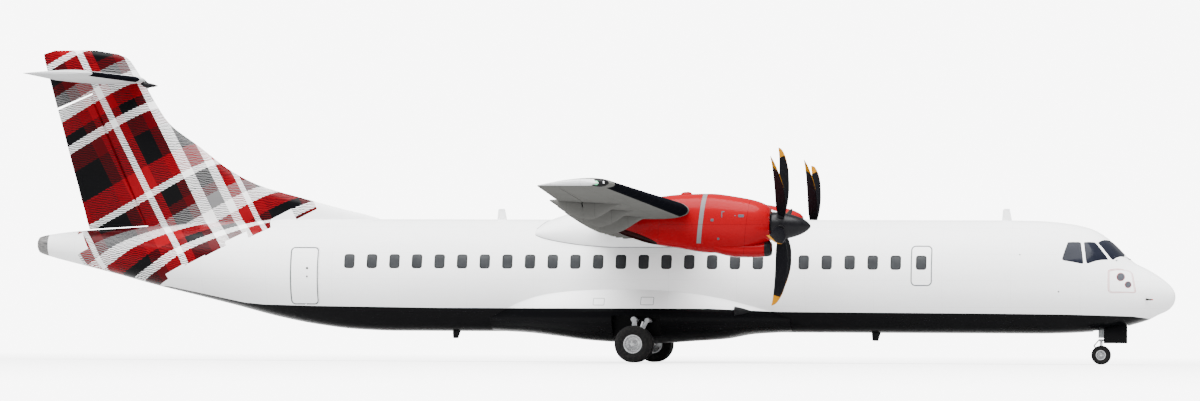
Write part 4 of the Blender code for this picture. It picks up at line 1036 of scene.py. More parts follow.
def makeFairings():
    rings = []
    for s in spread(8.95, 16.05, 0.09):
        bottom, half, rise = bellySection(s)
        rings.append(oval(station(s), bellyMiddle, bellyMiddle + rise, bottom, half, 88, 2.0, 2.5))
    belly = tube(rings)
    for side in sides.values():
        carve(belly, sideBlock((wheelWell["first"], wheelWell["last"]),
                               (wheelWell["inner"], wheelWell["outer"]),
                               (bayFoot, wheelWell["top"]), side))
    finish("bellyFairing", belly, "liveryPaint", ["belly_fairing"], 30)

    rings = []
    for s in spread(8.50, 15.00, 0.1):
        top, half, bottom, middle = rootSection(s)
        rings.append(oval(station(s), middle, top, bottom, half, 72, 2.2, 2.2))
    finish("wingRootFairing", tube(rings), "liveryPaint", ["wing_root_fairing"], 30)
    # A thin grey line along both edges where the root fairing meets the skin: painted shade in that crease
    edge = rootEdge(True) + rootEdge(False)[::-1]
    for tag, side in sides.items():
        seal = []
        for i, (s, z) in enumerate(edge):
            here = Vector((station(s), side * halfWidthAt(s, z), z))
            ahead, behind = edge[min(i + 1, len(edge) - 1)], edge[max(i - 1, 0)]
            run = Vector((behind[0] - ahead[0], 0, ahead[1] - behind[1])).normalized()
            out = Vector((0, side, 0.4)).normalized()
            across = run.cross(out).normalized()
            seal.append([here + (across * math.cos(a) + out * math.sin(a)) * 0.011 for a in fullTurn(8)])
        finish("rootFairingCreaseShade_" + tag, tube(seal), "creaseShadeGrey", (), 50)


makeFairings()
print("fairings made")


# Wings

wing = {
    "edge": 10.94, "edgeHeight": 3.49, "incidence": math.radians(2.0), "dihedral": math.radians(2.5),
    "break": 4.66, "tipEdge": 11.65, "chord": 2.57, "tipChord": 1.59, "thick": 0.18, "tipThick": 0.13,
    "camber": 0.025, "blunt": 0.008, "halfSpan": 13.525, "aileron": (4.72, 8.28), "flapLine": 0.735,
    "flapDrop": 0.055, "aileronLine": 0.72, "aileronTravel": 14.0, "slot": 0.010, "play": 0.006,
    # each flap's ends and its hinge fairings, measured from the middle or from the break
    "flaps": {"Inner": ((1.46, 3.46), (1.81, 3.11)), "Outer": ((0.05, 4.60), (0.50, 2.325, 4.15))},
}
panel = (wing["halfSpan"] - wing["break"]) / math.cos(wing["dihedral"])
chordSteps = [0.0, 0.002, 0.006, 0.012, 0.022, 0.036, 0.055, 0.08, 0.11, 0.15, 0.20, 0.26, 0.33, 0.40, 0.47,
              0.54, 0.61, 0.68, 0.75, 0.82, 0.89, 0.95, 1.0]
# Along the outer wing: cut from the nose, cut from the tail and share of the thickness left
tipRows = smoothRows([(0.0, 0.0, 0.0, 1.0), (0.945, 0.0, 0.0, 1.0), (0.975, 0.05, 0.01, 0.85),
                      (0.992, 0.16, 0.05, 0.55), (1.0, 0.34, 0.14, 0.20)])


def halfThickness(u):
    return 5 * (0.2969 * math.sqrt(u) - 0.1260 * u - 0.3516 * u ** 2 + 0.2843 * u ** 3 - 0.1036 * u ** 4)


def camberLine(u, camber):
    if u < 0.4:
        return camber / 0.16 * (0.8 * u - u * u)
    return camber / 0.36 * (0.2 + 0.8 * u - u * u)


def airfoil(chord, thickness, camber=0.0):
    points = []
    for way, steps in ((1, chordSteps[::-1]), (-1, chordSteps[1:])):
        for u in steps:
            half = chord * thickness * halfThickness(u) + wing["blunt"] / 2 * u
            points.append((u * chord, chord * camberLine(u, camber) + way * half))
    return points


def wingPoint(aft, height, along, share, side, flat=False):
    tilt, rise = wing["incidence"], wing["dihedral"]
    edge = blend(wing["edge"], wing["tipEdge"], share)
    s = edge + aft * math.cos(tilt) + height * math.sin(tilt)
    up = height * math.cos(tilt) - aft * math.sin(tilt)
    if flat:
        along = up * math.sin(rise) / math.cos(rise)
    y = wing["break"] + along * math.cos(rise) - up * math.sin(rise)
    return Vector((station(s), side * y, wing["edgeHeight"] + along * math.sin(rise) + up * math.cos(rise)))


def centrePoint(aft, height, y):
    tilt = wing["incidence"]
    s = wing["edge"] + aft * math.cos(tilt) + height * math.sin(tilt)
    return Vector((station(s), y, wing["edgeHeight"] + height * math.cos(tilt) - aft * math.sin(tilt)))


def sizesAt(kind, along):
    # The share of the outer wing, the chord and the relative thickness
    share = 0.0 if kind == "Inner" else along / panel
    chord = blend(wing["chord"], wing["tipChord"], share)
    return share, chord, blend(wing["thick"], wing["tipThick"], share)


def placeAt(kind, aft, height, along, side):
    if kind == "Inner":
        return centrePoint(aft, height, side * along)
    return wingPoint(aft, height, along, along / panel, side)


def outerWingSolid(side):
    points = airfoil(wing["chord"], wing["thick"], wing["camber"])
    rings = [[wingPoint(a, h, 0.0, 0.0, side, True) for a, h in points]]
    for share in spread(0.1, 0.9, 0.1) + [0.945, 0.955, 0.965, 0.975, 0.984, 0.992, 0.996, 1.0]:
        nose, tail, thin = tipRows(share)
        share, whole, thickness = sizesAt("Outer", share * panel)
        chord = whole - nose - tail
        points = airfoil(chord, thickness * thin * whole / chord, wing["camber"])
        rings.append([wingPoint(a + nose, h, share * panel, share, side) for a, h in points])
    return tube(rings)


def centreWingSolid(half=wing["break"]):
    points = airfoil(wing["chord"], wing["thick"], wing["camber"])
    return tube([[centrePoint(a, h, y) for a, h in points] for y in spread(-half, half, 1.2)])


def flapRows(chord, thickness, room):
    # The flap's outline, or its room's, as points of (distance aft, height)
    line = wing["flapLine"] * chord
    half = chord * thickness * halfThickness(wing["flapLine"])
    middle = chord * camberLine(wing["flapLine"], wing["camber"])
    start = line - (wing["play"] if room else 0.0)
    rows = [(start + 0.004, middle - half - 0.5), (start + 0.004, middle - half)]
    for i in range(7):
        a = i / 6 * math.pi / 2
        rows.append((start + 0.004 + 0.096 * (1 - math.cos(a)), middle - half + 2 * half * math.sin(a)))
    return rows + [(start + 0.10, middle + half + 0.5), (line + 1.5, middle + half + 0.5),
                   (line + 1.5, middle - half - 0.5)]


def flapAxis(chord, thickness):
    line = wing["flapLine"] * chord
    half = chord * thickness * halfThickness(wing["flapLine"])
    return line, chord * camberLine(wing["flapLine"], wing["camber"]) - half - wing["flapDrop"]


def flapPrism(kind, start, end, side, room):
    return tube([[placeAt(kind, a, h, along, side) for a, h in flapRows(*sizesAt(kind, along)[1:], room)]
                 for along in (start, end)])


# Flap hinge fairings: rows of (distance from the hinge line, keel against the hinge, half width), as on
# the root chord. The rear part moves with the flap, its nose nested inside the front part
fairing = {
    "front": [(-0.98, -0.036, 0.012), (-0.90, -0.065, 0.040), (-0.75, -0.145, 0.080),
              (-0.55, -0.265, 0.108), (-0.38, -0.345, 0.120), (-0.20, -0.392, 0.126),
              (-0.08, -0.400, 0.128), (0.0, -0.394, 0.128)],
    "rear": [(-0.12, -0.352, 0.110), (0.0, -0.372, 0.114), (0.10, -0.357, 0.114), (0.20, -0.314, 0.113),
             (0.32, -0.255, 0.109), (0.45, -0.180, 0.100), (0.60, -0.085, 0.087), (0.74, 0.010, 0.070),
             (0.84, 0.080, 0.050), (0.90, 0.125, 0.031), (0.925, 0.148, 0.012)],
    "room": 0.383, "wall": 0.008, "tail": 0.175, "step": 0.035,
    # how far each part sinks into the wing
    "frontSink": 0.035, "roomSink": 0.06, "rearSink": 0.03,
}


def pod(locate, along, rows, count=28):
    # A canoe with a round keel under the wing, by rows of (distance aft, top, bottom, half width)
    along = Vector(along).normalized()
    rings = []
    for aft, top, bottom, half in rows:
        ring = []
        for a in fullTurn(count):
            up = math.sin(a)
            depth = 0.25 + 0.75 * abs(up) ** 0.9 if up < 0 else 0.25 - 0.25 * up
            wide = half * bent(math.cos(a), 0.85 if up < 0 else 0.4)
            ring.append(Vector(locate(aft, blend(top, bottom, depth))) + along * wide)
        rings.append(ring)
    return tube(rings)


def makePods(locate, chord, thickness, along):
    line, height = flapAxis(chord, thickness)
    scale = chord / wing["chord"]
    front, rear = smoothRows(fairing["front"]), smoothRows(fairing["rear"])
    room, step, sink = fairing["room"], fairing["step"], fairing["roomSink"]

    def low(aft):
        u = min(1.0, aft / chord)
        return chord * camberLine(u, wing["camber"]) - chord * thickness * halfThickness(u)

    rows = []
    for aft in spread(-0.98, 0.0, step):
        keel, half = front(aft)
        back = line + aft * scale
        rows.append((back, low(back) + fairing["frontSink"], height + keel * scale, half))
    still = pod(locate, along, rows)
    rows = []
    for i in range(16):
        aft = -room * math.cos(math.pi / 2 * i / 15) * 0.995
        back = line + aft * scale
        keel = -math.sqrt(room ** 2 - aft ** 2)
        rows.append((back, low(back) + sink, height + keel * scale, front(aft)[1] - fairing["wall"]))
    rows.append((line + 0.1, low(line) + sink, height - room * scale, front(0.0)[1] - fairing["wall"]))
    carve(still, pod(locate, along, rows))
    rows = []
    for aft in spread(-0.12, 0.925, step):
        keel, half = rear(aft)
        back = line + aft * scale
        top = low(back) + fairing["rearSink"]
        if aft < 0.02:
            top = height - 0.03 - 0.3 * max(0.0, -aft)
        elif back > chord - 0.05:
            top = height + fairing["tail"] * scale
        rows.append((back, top, height + keel * scale, half))
    return still, pod(locate, along, rows)


def makeFlap(kind, tag, fixed, flap):
    # Cuts a flap out of the wing, and gives both their share of the hinge fairings
    side = sides[tag]
    (start, end), podPlaces = wing["flaps"][kind]
    carve(fixed, flapPrism(kind, start - wing["slot"], end + wing["slot"], side, True))
    carve(flap, flapPrism(kind, start, end, side, False), "INTERSECT")
    hinge = [placeAt(kind, *flapAxis(*sizesAt(kind, along)[1:]), along, side) for along in (start, end)]
    line = (0, 1, 0) if kind == "Inner" else hinge[1] - hinge[0]
    stills, moving = [], [flap]
    for along in podPlaces:
        still, rear = makePods(lambda a, h: placeAt(kind, a, h, along, side),
                               *sizesAt(kind, along)[1:], line)
        stills.append(still)
        moving.append(rear)
    node = f"flap_{kind.lower()}_{tag}"
    finish(f"flap{kind}_{tag}", moving, "wingPaintAndShade", [node], 30, node)
    finish(f"flapFairings{kind}_{tag}", stills, "wingPaintAndShade", (), 40)


def splitSwing(fixed, full, low, high, radii, degrees, flat, margins=(wing["slot"], wing["slot"])):
    # Cuts a round-nosed moving surface out of a fixed one, with room to turn so many degrees each way
    low, high = Vector(low), Vector(high)
    axis = (high - low).normalized()
    across = (Vector(flat) - axis * axis.dot(Vector(flat))).normalized()
    aft = across.cross(axis).normalized()
    if aft.x > 0:
        aft = -aft
    reach, wide, steps = 2.2, 0.6, 20
    free = math.radians(degrees + 3.0)
    far = reach / math.tan(free)
    keep, room = [], []
    for end, shift, radius in ((low, axis * margins[0], radii[0]), (high, axis * -margins[1], radii[1])):
        for rings, place, size, out, turn in ((keep, end + shift, radius, far, free),
                                              (room, end, radius + wing["play"], wide, 0.0)):
            ring = [place + aft * reach - across * out, place + aft * reach + across * out]
            if rings is room:
                ring.append(place + across * wide)
            for i in range(steps + 1):
                a = turn - (2 * turn + math.pi) * i / steps
                ring.append(place + (aft * math.sin(a) + across * math.cos(a)) * size)
            if rings is room:
                ring.append(place - across * wide)
            rings.append(ring)
    carve(full, tube(keep), "INTERSECT")
    carve(fixed, tube(room))


def makeWings():
    centre = centreWingSolid()
    for tag, side in sides.items():
        makeFlap("Inner", tag, centre, centreWingSolid())
        outer = outerWingSolid(side)
        makeFlap("Outer", tag, outer, outerWingSolid(side))
        ends, radii = [], []
        for along in wing["aileron"]:
            share, chord, thickness = sizesAt("Outer", along)
            line = wing["aileronLine"]
            height = chord * camberLine(line, wing["camber"])
            ends.append(wingPoint(line * chord, height, along, share, side))
            radii.append(chord * thickness * halfThickness(line) - 0.013)
        aileron = outerWingSolid(side)
        splitSwing(outer, aileron, *ends, radii, wing["aileronTravel"], (0, 0, 1))
        finish(f"aileron_{tag}Skin", aileron, "wingPaintAndShade", ["aileron_" + tag], 30, "aileron_" + tag)
        finish("wingOuter_" + tag, outer, "wingPaintAndShade", ["wing_outer_" + tag], 30)
    finish("wingCentre", centre, "wingPaintAndShade", ["wing_centre"], 30)


makeWings()
print("wings made")


# Tail

# Heights with the stations of the leading and trailing edges, and the thickness
finTable = [
    (3.00, 18.30, 25.88, 0.30), (3.40, 18.90, 26.00, 0.34), (3.60, 19.70, 26.05, 0.36),
    (3.87, 20.71, 26.13, 0.37), (4.18, 21.80, 26.21, 0.37), (4.56, 22.53, 26.32, 0.37),
    (5.11, 23.26, 26.47, 0.36), (5.66, 23.99, 26.62, 0.34), (6.07, 24.28, 26.74, 0.32),
    (6.70, 24.65, 26.91, 0.28), (7.05, 24.87, 27.01, 0.24), (7.22, 25.01, 27.05, 0.21),
    (7.34, 25.31, 27.07, 0.16), (7.413, 25.80, 26.80, 0.06),
]
finRow = smoothRows(finTable)
tail = {"rootEdge": 24.59, "tipEdge": 25.19, "rear": 26.75, "thick": 0.105, "half": 3.655, "height": 6.70,
        "finFoot": 3.0, "finTop": 7.413, "rudderLow": (24.400, 3.00), "rudderHigh": (25.862, 6.40),
        "rudderTop": 6.36, "rudderTravel": 27.0, "elevator": (0.24, 3.30), "elevatorLine": 0.66,
        "elevatorTravel": 23.0}
tailTip = smoothRows([(0.0, 0.0, 0.0, 1.0), (0.925, 0.0, 0.0, 1.0), (0.97, 0.04, 0.0, 0.8),
                      (1.0, 0.20, 0.06, 0.25)])


def finSolid(low, high):
    rings = []
    for z in spread(low, high, 0.10):
        edge, rear, thickness = finRow(z)
        points = airfoil(rear - edge, thickness / (rear - edge))
        rings.append([Vector((station(edge + a), h, z)) for a, h in points])
    return tube(rings)


def tailSolid():
    shares = spread(0.0, 0.9, 0.15) + [0.925, 0.94, 0.955, 0.97, 0.985, 1.0]
    rings = []
    for share in [-s for s in reversed(shares[1:])] + shares:
        nose, back, thin = tailTip(abs(share))
        edge = blend(tail["rootEdge"], tail["tipEdge"], abs(share))
        chord = tail["rear"] - back - edge - nose
        points = airfoil(chord, tail["thick"] * thin * (tail["rear"] - edge) / chord)
        rings.append([Vector((station(edge + nose + a), share * tail["half"], tail["height"] + h))
                      for a, h in points])
    return tube(rings)


def makeTail():
    fin = finSolid(tail["finFoot"], tail["height"])
    tip = finSolid(tail["height"], tail["finTop"])
    ends, radii = [], []
    for s, z in (tail["rudderLow"], tail["rudderHigh"]):
        edge, rear, thickness = finRow(z)
        ends.append(Vector((station(s), 0, z)))
        radii.append(thickness * halfThickness((s - edge) / (rear - edge)) - 0.016)
    rudder = finSolid(tail["finFoot"], tail["rudderTop"])
    splitSwing(fin, rudder, *ends, radii, tail["rudderTravel"], (0, 1, 0), (0.0, 0.05))
    carve(rudder, fuselageSolid(22.0, body["rearEnd"], 0.02, 0.3))
    finish("rudderSkin", rudder, "liveryPaint", ["rudder"], 30, "rudder")
    finish("finSkin", fin, "liveryPaint", ["fin"], 30)
    finish("finTip", tip, "liveryPaint", ["fin_tip"], 30)

    plane = tailSolid()
    root = tail["rear"] - blend(tail["rootEdge"], tail["tipEdge"], tail["elevator"][0] / tail["half"])
    for tag, side in sides.items():
        ends, radii = [], []
        for y in tail["elevator"]:
            share = y / tail["half"]
            edge = blend(tail["rootEdge"], tail["tipEdge"], share)
            line = tail["rear"] - (1 - tail["elevatorLine"]) * root * blend(1.0, 0.86, share)
            chord = tail["rear"] - edge
            ends.append(Vector((station(line), side * y, tail["height"])))
            radii.append(chord * tail["thick"] * halfThickness((line - edge) / chord) - 0.012)
        elevator = tailSolid()
        splitSwing(plane, elevator, *ends, radii, tail["elevatorTravel"], (0, 0, 1))
        finish("elevatorSkin_" + tag, elevator, "wingPaintAndShade", ["elevator_" + tag], 30, "elevator_" + tag)
    finish("tailplaneSkin", plane, "wingPaintAndShade", ["tailplane"], 30)
    bullet = [(0.0, 0.004), (0.04, 0.020), (0.12, 0.042), (0.28, 0.068), (0.50, 0.085), (0.80, 0.09)]
    finish("tailBullet", lathed(bullet, (station(24.27), 0, 6.56), (-1, 0, 0.06), 24), "blackTrim", (), 50)


makeTail()
print("tail made")


# Nacelles and propellers

# Stations with the top, the bottom and the half width
nacelleTable = [
    (9.125, 3.56, 2.81, 0.375), (9.20, 3.63, 2.76, 0.44), (9.45, 3.73, 2.66, 0.53),
    (9.90, 3.82, 2.54, 0.575), (10.50, 3.89, 2.53, 0.585), (11.20, 3.87, 2.63, 0.575),
    (11.90, 3.78, 2.74, 0.54), (12.50, 3.68, 2.93, 0.44), (13.05, 3.58, 3.12, 0.28),
    (13.35, 3.50, 3.24, 0.15),
]
nacelleRow = smoothRows(nacelleTable)
chinRow = smoothRows([(9.13, 2.795, 2.470, 0.265), (9.20, 2.800, 2.458, 0.300), (9.45, 2.785, 2.428, 0.345),
                      (9.90, 2.78, 2.433, 0.40), (10.40, 2.80, 2.530, 0.40)])
# Stations with the middle, the half height and the half width
chinMouth = [(8.9, 2.632, 0.125, 0.240), (9.13, 2.632, 0.122, 0.230), (9.25, 2.632, 0.105, 0.215),
             (9.60, 2.65, 0.07, 0.18)]
chinThroat = [(9.18, 2.632, 0.098, 0.205), (9.3, 2.634, 0.090, 0.195), (9.58, 2.65, 0.062, 0.165)]
# Stations with the growth over the chin
chinLip = [(9.245, 0.001), (9.242, 0.005), (9.20, 0.008), (9.14, 0.004), (9.115, -0.004), (9.103, -0.018),
           (9.106, -0.030), (9.13, -0.038), (9.20, -0.044)]
power = {"spread": 4.05, "height": 3.15, "spinnerTip": 8.20, "bladeAt": 8.87, "blades": 6,
         "firstBlade": {"right": 43.0, "left": 33.0}, "gearboxRoom": 0.29,
         "shaft": (9.09, 9.40, 0.10), "collar": (0.28, 0.335), "collarRadius": 0.088}
# Radii with the chord, the thickness, the pitch in degrees and the sweep
bladeTable = [
    (0.20, 0.13, 0.100, 62.0, 0.00), (0.36, 0.21, 0.078, 58.0, 0.005), (0.56, 0.30, 0.056, 54.0, 0.02),
    (0.90, 0.350, 0.040, 49.0, 0.035), (1.25, 0.345, 0.030, 45.0, 0.02), (1.55, 0.290, 0.022, 42.0, -0.03),
    (1.76, 0.205, 0.016, 40.0, -0.10), (1.89, 0.125, 0.011, 39.0, -0.17), (1.965, 0.03, 0.006, 38.0, -0.24),
]
bladeRow = smoothRows(bladeTable)
spinnerNose = [(0.0, 0.004), (0.006, 0.022), (0.02, 0.045), (0.05, 0.078), (0.09, 0.112), (0.14, 0.146),
               (0.20, 0.180), (0.28, 0.214), (0.37, 0.245), (0.46, 0.270), (0.545, 0.2895)]
spinnerRear = [(0.547, 0.286), (0.549, 0.2905), (0.60, 0.302), (0.68, 0.313), (0.78, 0.321),
               (0.895, 0.3255),
               (0.903, 0.320)]
# Small plates on the outer side of each nacelle: station, height, half length, half height
nacellePlates = [(10.19, 3.405, 0.014, 0.075), (10.165, 3.465, 0.038, 0.014), (9.75, 3.369, 0.068, 0.034),
                 (9.885, 3.375, 0.020, 0.012), (10.41, 3.272, 0.036, 0.034), (10.274, 2.845, 0.026, 0.026)]


def nacelleSide(s, z):
    # Half width of the nacelle at a height
    top, bottom, half = nacelleRow(s)
    middle = blend(bottom, top, 0.5)
    return half * (1 - min(1.0, abs(z - middle) / (top - middle)) ** 2.4) ** (1 / 2.4)


def makeNacelleFittings(tag, side, y):
    plates = []
    for s, z, halfS, halfZ in nacellePlates:
        rings = []
        for lift, share in ((-0.01, 1.0), (0.003, 1.0), (0.004, 0.8), (0.004, 0.02)):
            ring = []
            for a in fullTurn(24):
                at = s + halfS * share * bent(math.cos(a), 0.35)
                height = z + halfZ * share * bent(math.sin(a), 0.35)
                ring.append(Vector((station(at), y + side * (nacelleSide(at, height) + lift), height)))
            rings.append(ring)
        plates.append(tube(rings))
    finish("nacellePlates_" + tag, plates, "ventGrey", (), 40)
    # A low round fairing on top
    rings = []
    for t in (0.0, 0.05, 0.15, 0.35, 0.65, 0.85, 0.95, 1.0):
        size = math.sqrt(max(0.0004, 1 - (2 * t - 1) ** 4))
        s = 10.93 + 0.27 * t
        foot = nacelleRow(s)[0] - 0.03
        rings.append([Vector((station(s), y + 0.10 * size * math.cos(a),
                              foot + 0.085 * size * max(0.0, math.sin(a)) ** 0.7)) for a in fullTurn(28)])
    finish("nacelleTopFairing_" + tag, tube(rings), "nacellePaint", (), 40)


def makeBlade(angle, y):
    turn = Matrix.Rotation(math.radians(angle), 3, "X")
    hub = Vector((station(power["bladeAt"]), y, power["height"]))
    rings = []
    for radius in spread(0.20, 1.80, 0.08) + [1.84, 1.87, 1.90, 1.925, 1.945, 1.958, 1.965]:
        chord, thickness, pitch, sweep = bladeRow(radius)
        pitch = math.radians(pitch)
        ring = []
        for a in fullTurn(28):
            # Starts at the trailing edge, so the leading edge is half way round
            across = math.sin(a) * (0.42 if math.sin(a) > 0 else 0.24) * (1 + 0.35 * math.cos(a + math.pi))
            edge, depth = -math.cos(a) * 0.5 * chord + sweep, across * thickness
            x = edge * math.sin(pitch) + depth * math.cos(pitch)
            side = depth * math.sin(pitch) - edge * math.cos(pitch)
            ring.append(turn @ Vector((x, side, radius)) + hub)
        rings.append(ring)
    return tube(rings)


def ducted(rows, y):
    return tube(ovals([(s, z + h, z - h, w) for s, z, h, w in rows], 40, 2.6, 2.6, y))


def makeNacelle(tag, side, y):
    stops = [9.125, 9.13, 9.14, 9.155, 9.175] + spread(9.20, 13.35, 0.10)
    shell = tube(ovals([(s, *nacelleRow(s)) for s in stops], 72, 2.4, 2.4, y))
    chin = tube(ovals([(s, *chinRow(s)) for s in spread(9.13, 10.40, 0.09)], 56, 2.5, 2.3, y))
    carve(shell, chin, "UNION")
    # The chin's mouth, and room for the gearbox behind the spinner
    carve(shell, ducted(chinMouth, y))
    gearbox = [(station(s), y, power["height"]) for s in (8.9, 9.45)]
    carve(shell, rod(*gearbox, power["gearboxRoom"], 48, 0.0))
    # The long recess that the exhaust leaves by, low on the outer side
    bowl = []
    for i in range(25):
        t = math.sin(math.pi * (i / 24 - 0.5))
        size = max(0.01, math.sqrt(max(0.0, 1 - t * t)))
        s, z = exhaust["s"] + exhaust["halfS"] * t, exhaust["z"] + exhaust["rise"] * t
        bowl.append([Vector((station(s), y + side * exhaust["y"] + exhaust["halfY"] * size * math.cos(a),
                             z + exhaust["halfZ"] * size * math.sin(a))) for a in fullTurn(40)])
    carve(shell, tube(bowl))
    finish("nacelleShell_" + tag, shell, "nacellePaint", ["nacelle_" + tag, "engine_" + tag])

    rows = []
    for s, grow in chinLip:
        top, bottom, half = chinRow(max(s, 9.13))
        rows.append(oval(station(s), blend(bottom, top, 0.5), top + grow, bottom - grow, half + grow,
                         56, 2.5, 2.3, y))
    finish("intakeLip_" + tag, tube(rows, False), "blackTrim", (), 50)
    finish("intakeThroat_" + tag, ducted(chinThroat, y), "darkMetal", (), 50)
    makeNacelleFittings(tag, side, y)


def makePropeller(tag, y):
    propeller = "propeller_" + tag
    tip = (station(power["spinnerTip"]), y, power["height"])
    cone = lathed(spinnerNose, tip, (-1, 0, 0), 64)
    finish("spinnerCone_" + tag, cone, "spinnerBlack", ["spinner_" + tag], 50, propeller)
    drum = lathed(spinnerRear, tip, (-1, 0, 0), 64)
    first, last, radius = power["shaft"]
    shaft = rod((station(first), y, power["height"]), (station(last), y, power["height"]), radius, 32)
    angles = [power["firstBlade"][tag] + 360.0 / power["blades"] * i for i in range(power["blades"])]
    hub = Vector((station(power["bladeAt"]), y, power["height"]))
    collars = []
    for angle in angles:
        turn = Matrix.Rotation(math.radians(angle), 3, "X")
        foot, top = (hub + turn @ Vector((0, 0, out)) for out in power["collar"])
        collars.append(rod(foot, top, power["collarRadius"], 24))
    finish("spinnerDrum_" + tag, [drum, shaft] + collars, "spinnerBlack", (), 40, propeller)
    blades = [makeBlade(angle, y) for angle in angles]
    finish("propellerBlades_" + tag, blades, "bladePaint", [propeller], 50, propeller)


for tag, side in sides.items():
    makeNacelle(tag, side, side * power["spread"])
    makePropeller(tag, side * power["spread"])
print("engines made")


# Landing gear

# Rods are given by both ends, each as distance ahead of the axle, distance outwards from the leg's middle
# and height, then by radius, sides and, where it isn't the usual one, bevel
mainGear = {
    "track": 4.10, "station": 12.50, "radius": 0.432, "width": 0.254, "spacing": 0.42, "rim": 0.205,
    "hub": 0.045, "grooves": (-0.45, -0.15, 0.15, 0.45), "bolts": 10, "axle": (-0.19, 0.19, 0.042),
    "boss": [(-0.048, 0.07), (-0.042, 0.085), (0.042, 0.085), (0.048, 0.07)],
    "leg": [((0, 0, 0.452), (0.005, 0, 1.02), 0.058, 32, 0.01),
            ((0.04, 0, 0.492), (0.30, 0, 0.982), 0.042, 28),
            ((-0.02, 0.055, 1.007), (-0.02, -0.6, 1.007), 0.062, 32),
            ((0.30, 0.055, 0.982), (0.30, -0.6, 0.982), 0.055, 32),
            ((0.005, 0, 0.72), (0.005, 0, 0.80), 0.078, 32)],
    "damper": [((0.035, 0, 0.532), (0.20, 0, 0.962), 0.026, 24)],
    "pipes": [((-0.062, -0.02, 0.50), (-0.062, -0.02, 0.98), 0.006, 10),
              ((-0.062, 0.02, 0.50), (-0.062, 0.02, 0.98), 0.006, 10)],
    "brake": [(0, 0.05), (0, 0.165), (0.05, 0.165), (0.05, 0.05)], "brakeInset": 0.06,
}
noseGear = {
    "station": 1.73, "radius": 0.225, "width": 0.165, "spacing": 0.34, "rim": 0.105, "hub": 0.028,
    "grooves": (-0.36, 0.0, 0.36), "bolts": 8, "axle": (0.058, 0.20, 0.026),
    "boss": [(-0.053, 0.046), (-0.048, 0.055), (0.048, 0.055), (0.053, 0.046)],
    "fork": [((0, 0, 0.255), (0, 0, 0.40), 0.047, 32), ((0, 0, 0.55), (0, 0, 0.6), 0.062, 32),
             ((-0.05, 0, 0.30), (-0.17, 0, 0.44), 0.016, 16),
             ((-0.17, 0, 0.44), (-0.05, 0, 0.58), 0.016, 16)],
    "piston": [((0, 0, 0.36), (0, 0, 0.60), 0.036, 32)],
    "leg": [((0, 0, 0.625), (0, 0, 1.22), 0.068, 32, 0.01),
            ((0, -noseBay["half"], 1.12), (0, noseBay["half"], 1.12), 0.045, 24),
            ((0, 0, 0.78), (0.50, 0, noseBay["top"] - 0.031), 0.03, 20),
            ((0, 0, 0.86), (0.10, 0, 0.86), 0.02, 16)],
    "lamp": [(0.0, 0.02), (0.02, 0.055), (0.06, 0.068), (0.065, 0.062), (0.058, 0.03), (0.055, 0.004)],
    "lampAhead": 0.09, "lampHeight": 0.86,
    # the tow fitting, ahead of the axle, and a bay door's last station, gap, thickness and heights
    "tow": ((0.03, -0.045, 0.20), (0.085, 0.045, 0.26)),
    "doorEnd": 1.66, "doorGap": 0.004, "doorThick": 0.018, "doorHeights": (0.50, 1.0),
}


def makeTyre(name, centre, spec, bodyName, replaced):
    radius, rim = spec["radius"], spec["rim"]
    # Rows of (share of the half width, radius) from the bead to the shoulder
    bead = [(0.62, rim - 0.006), (0.70, rim + 0.002)]
    wall = ((0.82, 0.10), (0.95, 0.30), (1.0, 0.52), (0.95, 0.76), (0.84, 0.92), (0.70, 0.985))
    rows = bead + [(u, rim + share * (radius - rim)) for u, share in wall]
    tread = []
    for place in spec["grooves"]:
        tread += [(place + 0.035, radius - 0.001), (place + 0.030, radius - 0.007),
                  (place - 0.030, radius - 0.007), (place - 0.035, radius - 0.001)]
    profile = rows + tread + [(-u, r) for u, r in reversed(rows)] + [rows[0]]
    made = lathed([(u * spec["width"] / 2, r) for u, r in profile], centre, (0, 1, 0), 96)
    finish(name, made, "tyreRubber", [replaced], 35, bodyName)


def makeRim(centre, side, spec):
    # One wheel: a dished rim towards the given side, with a ring of bolts
    half, rim, hub = spec["width"] * 0.40, spec["rim"], spec["hub"]
    rows = [(-half, rim * 0.97), (-half, rim + 0.012), (-half + 0.012, rim + 0.012),
            (-half + 0.02, rim - 0.008), (half - 0.02, rim - 0.008), (half - 0.012, rim + 0.012),
            (half, rim + 0.012), (half, rim * 0.93), (half - 0.025, rim * 0.88), (half - 0.06, rim * 0.80),
            (half - 0.072, rim * 0.60), (half - 0.050, rim * 0.42), (half - 0.030, hub * 1.5),
            (half + 0.012, hub * 1.25), (half + 0.018, hub * 0.9), (half + 0.018, 0.004)]
    parts = [lathed(rows, centre, (0, side, 0), 64)]
    for a in fullTurn(spec["bolts"]):
        foot = centre + Vector((rim * 0.68 * math.cos(a), side * (half - 0.075), rim * 0.68 * math.sin(a)))
        parts.append(rod(foot, foot + Vector((0, side * 0.022, 0)), rim * 0.045, 8, 0.002))
    return parts


def struts(axle, rows, side=1):
    return [rod(*[(axle.x + x, axle.y + side * y, z) for x, y, z in (start, end)], *size)
            for start, end, *size in rows]


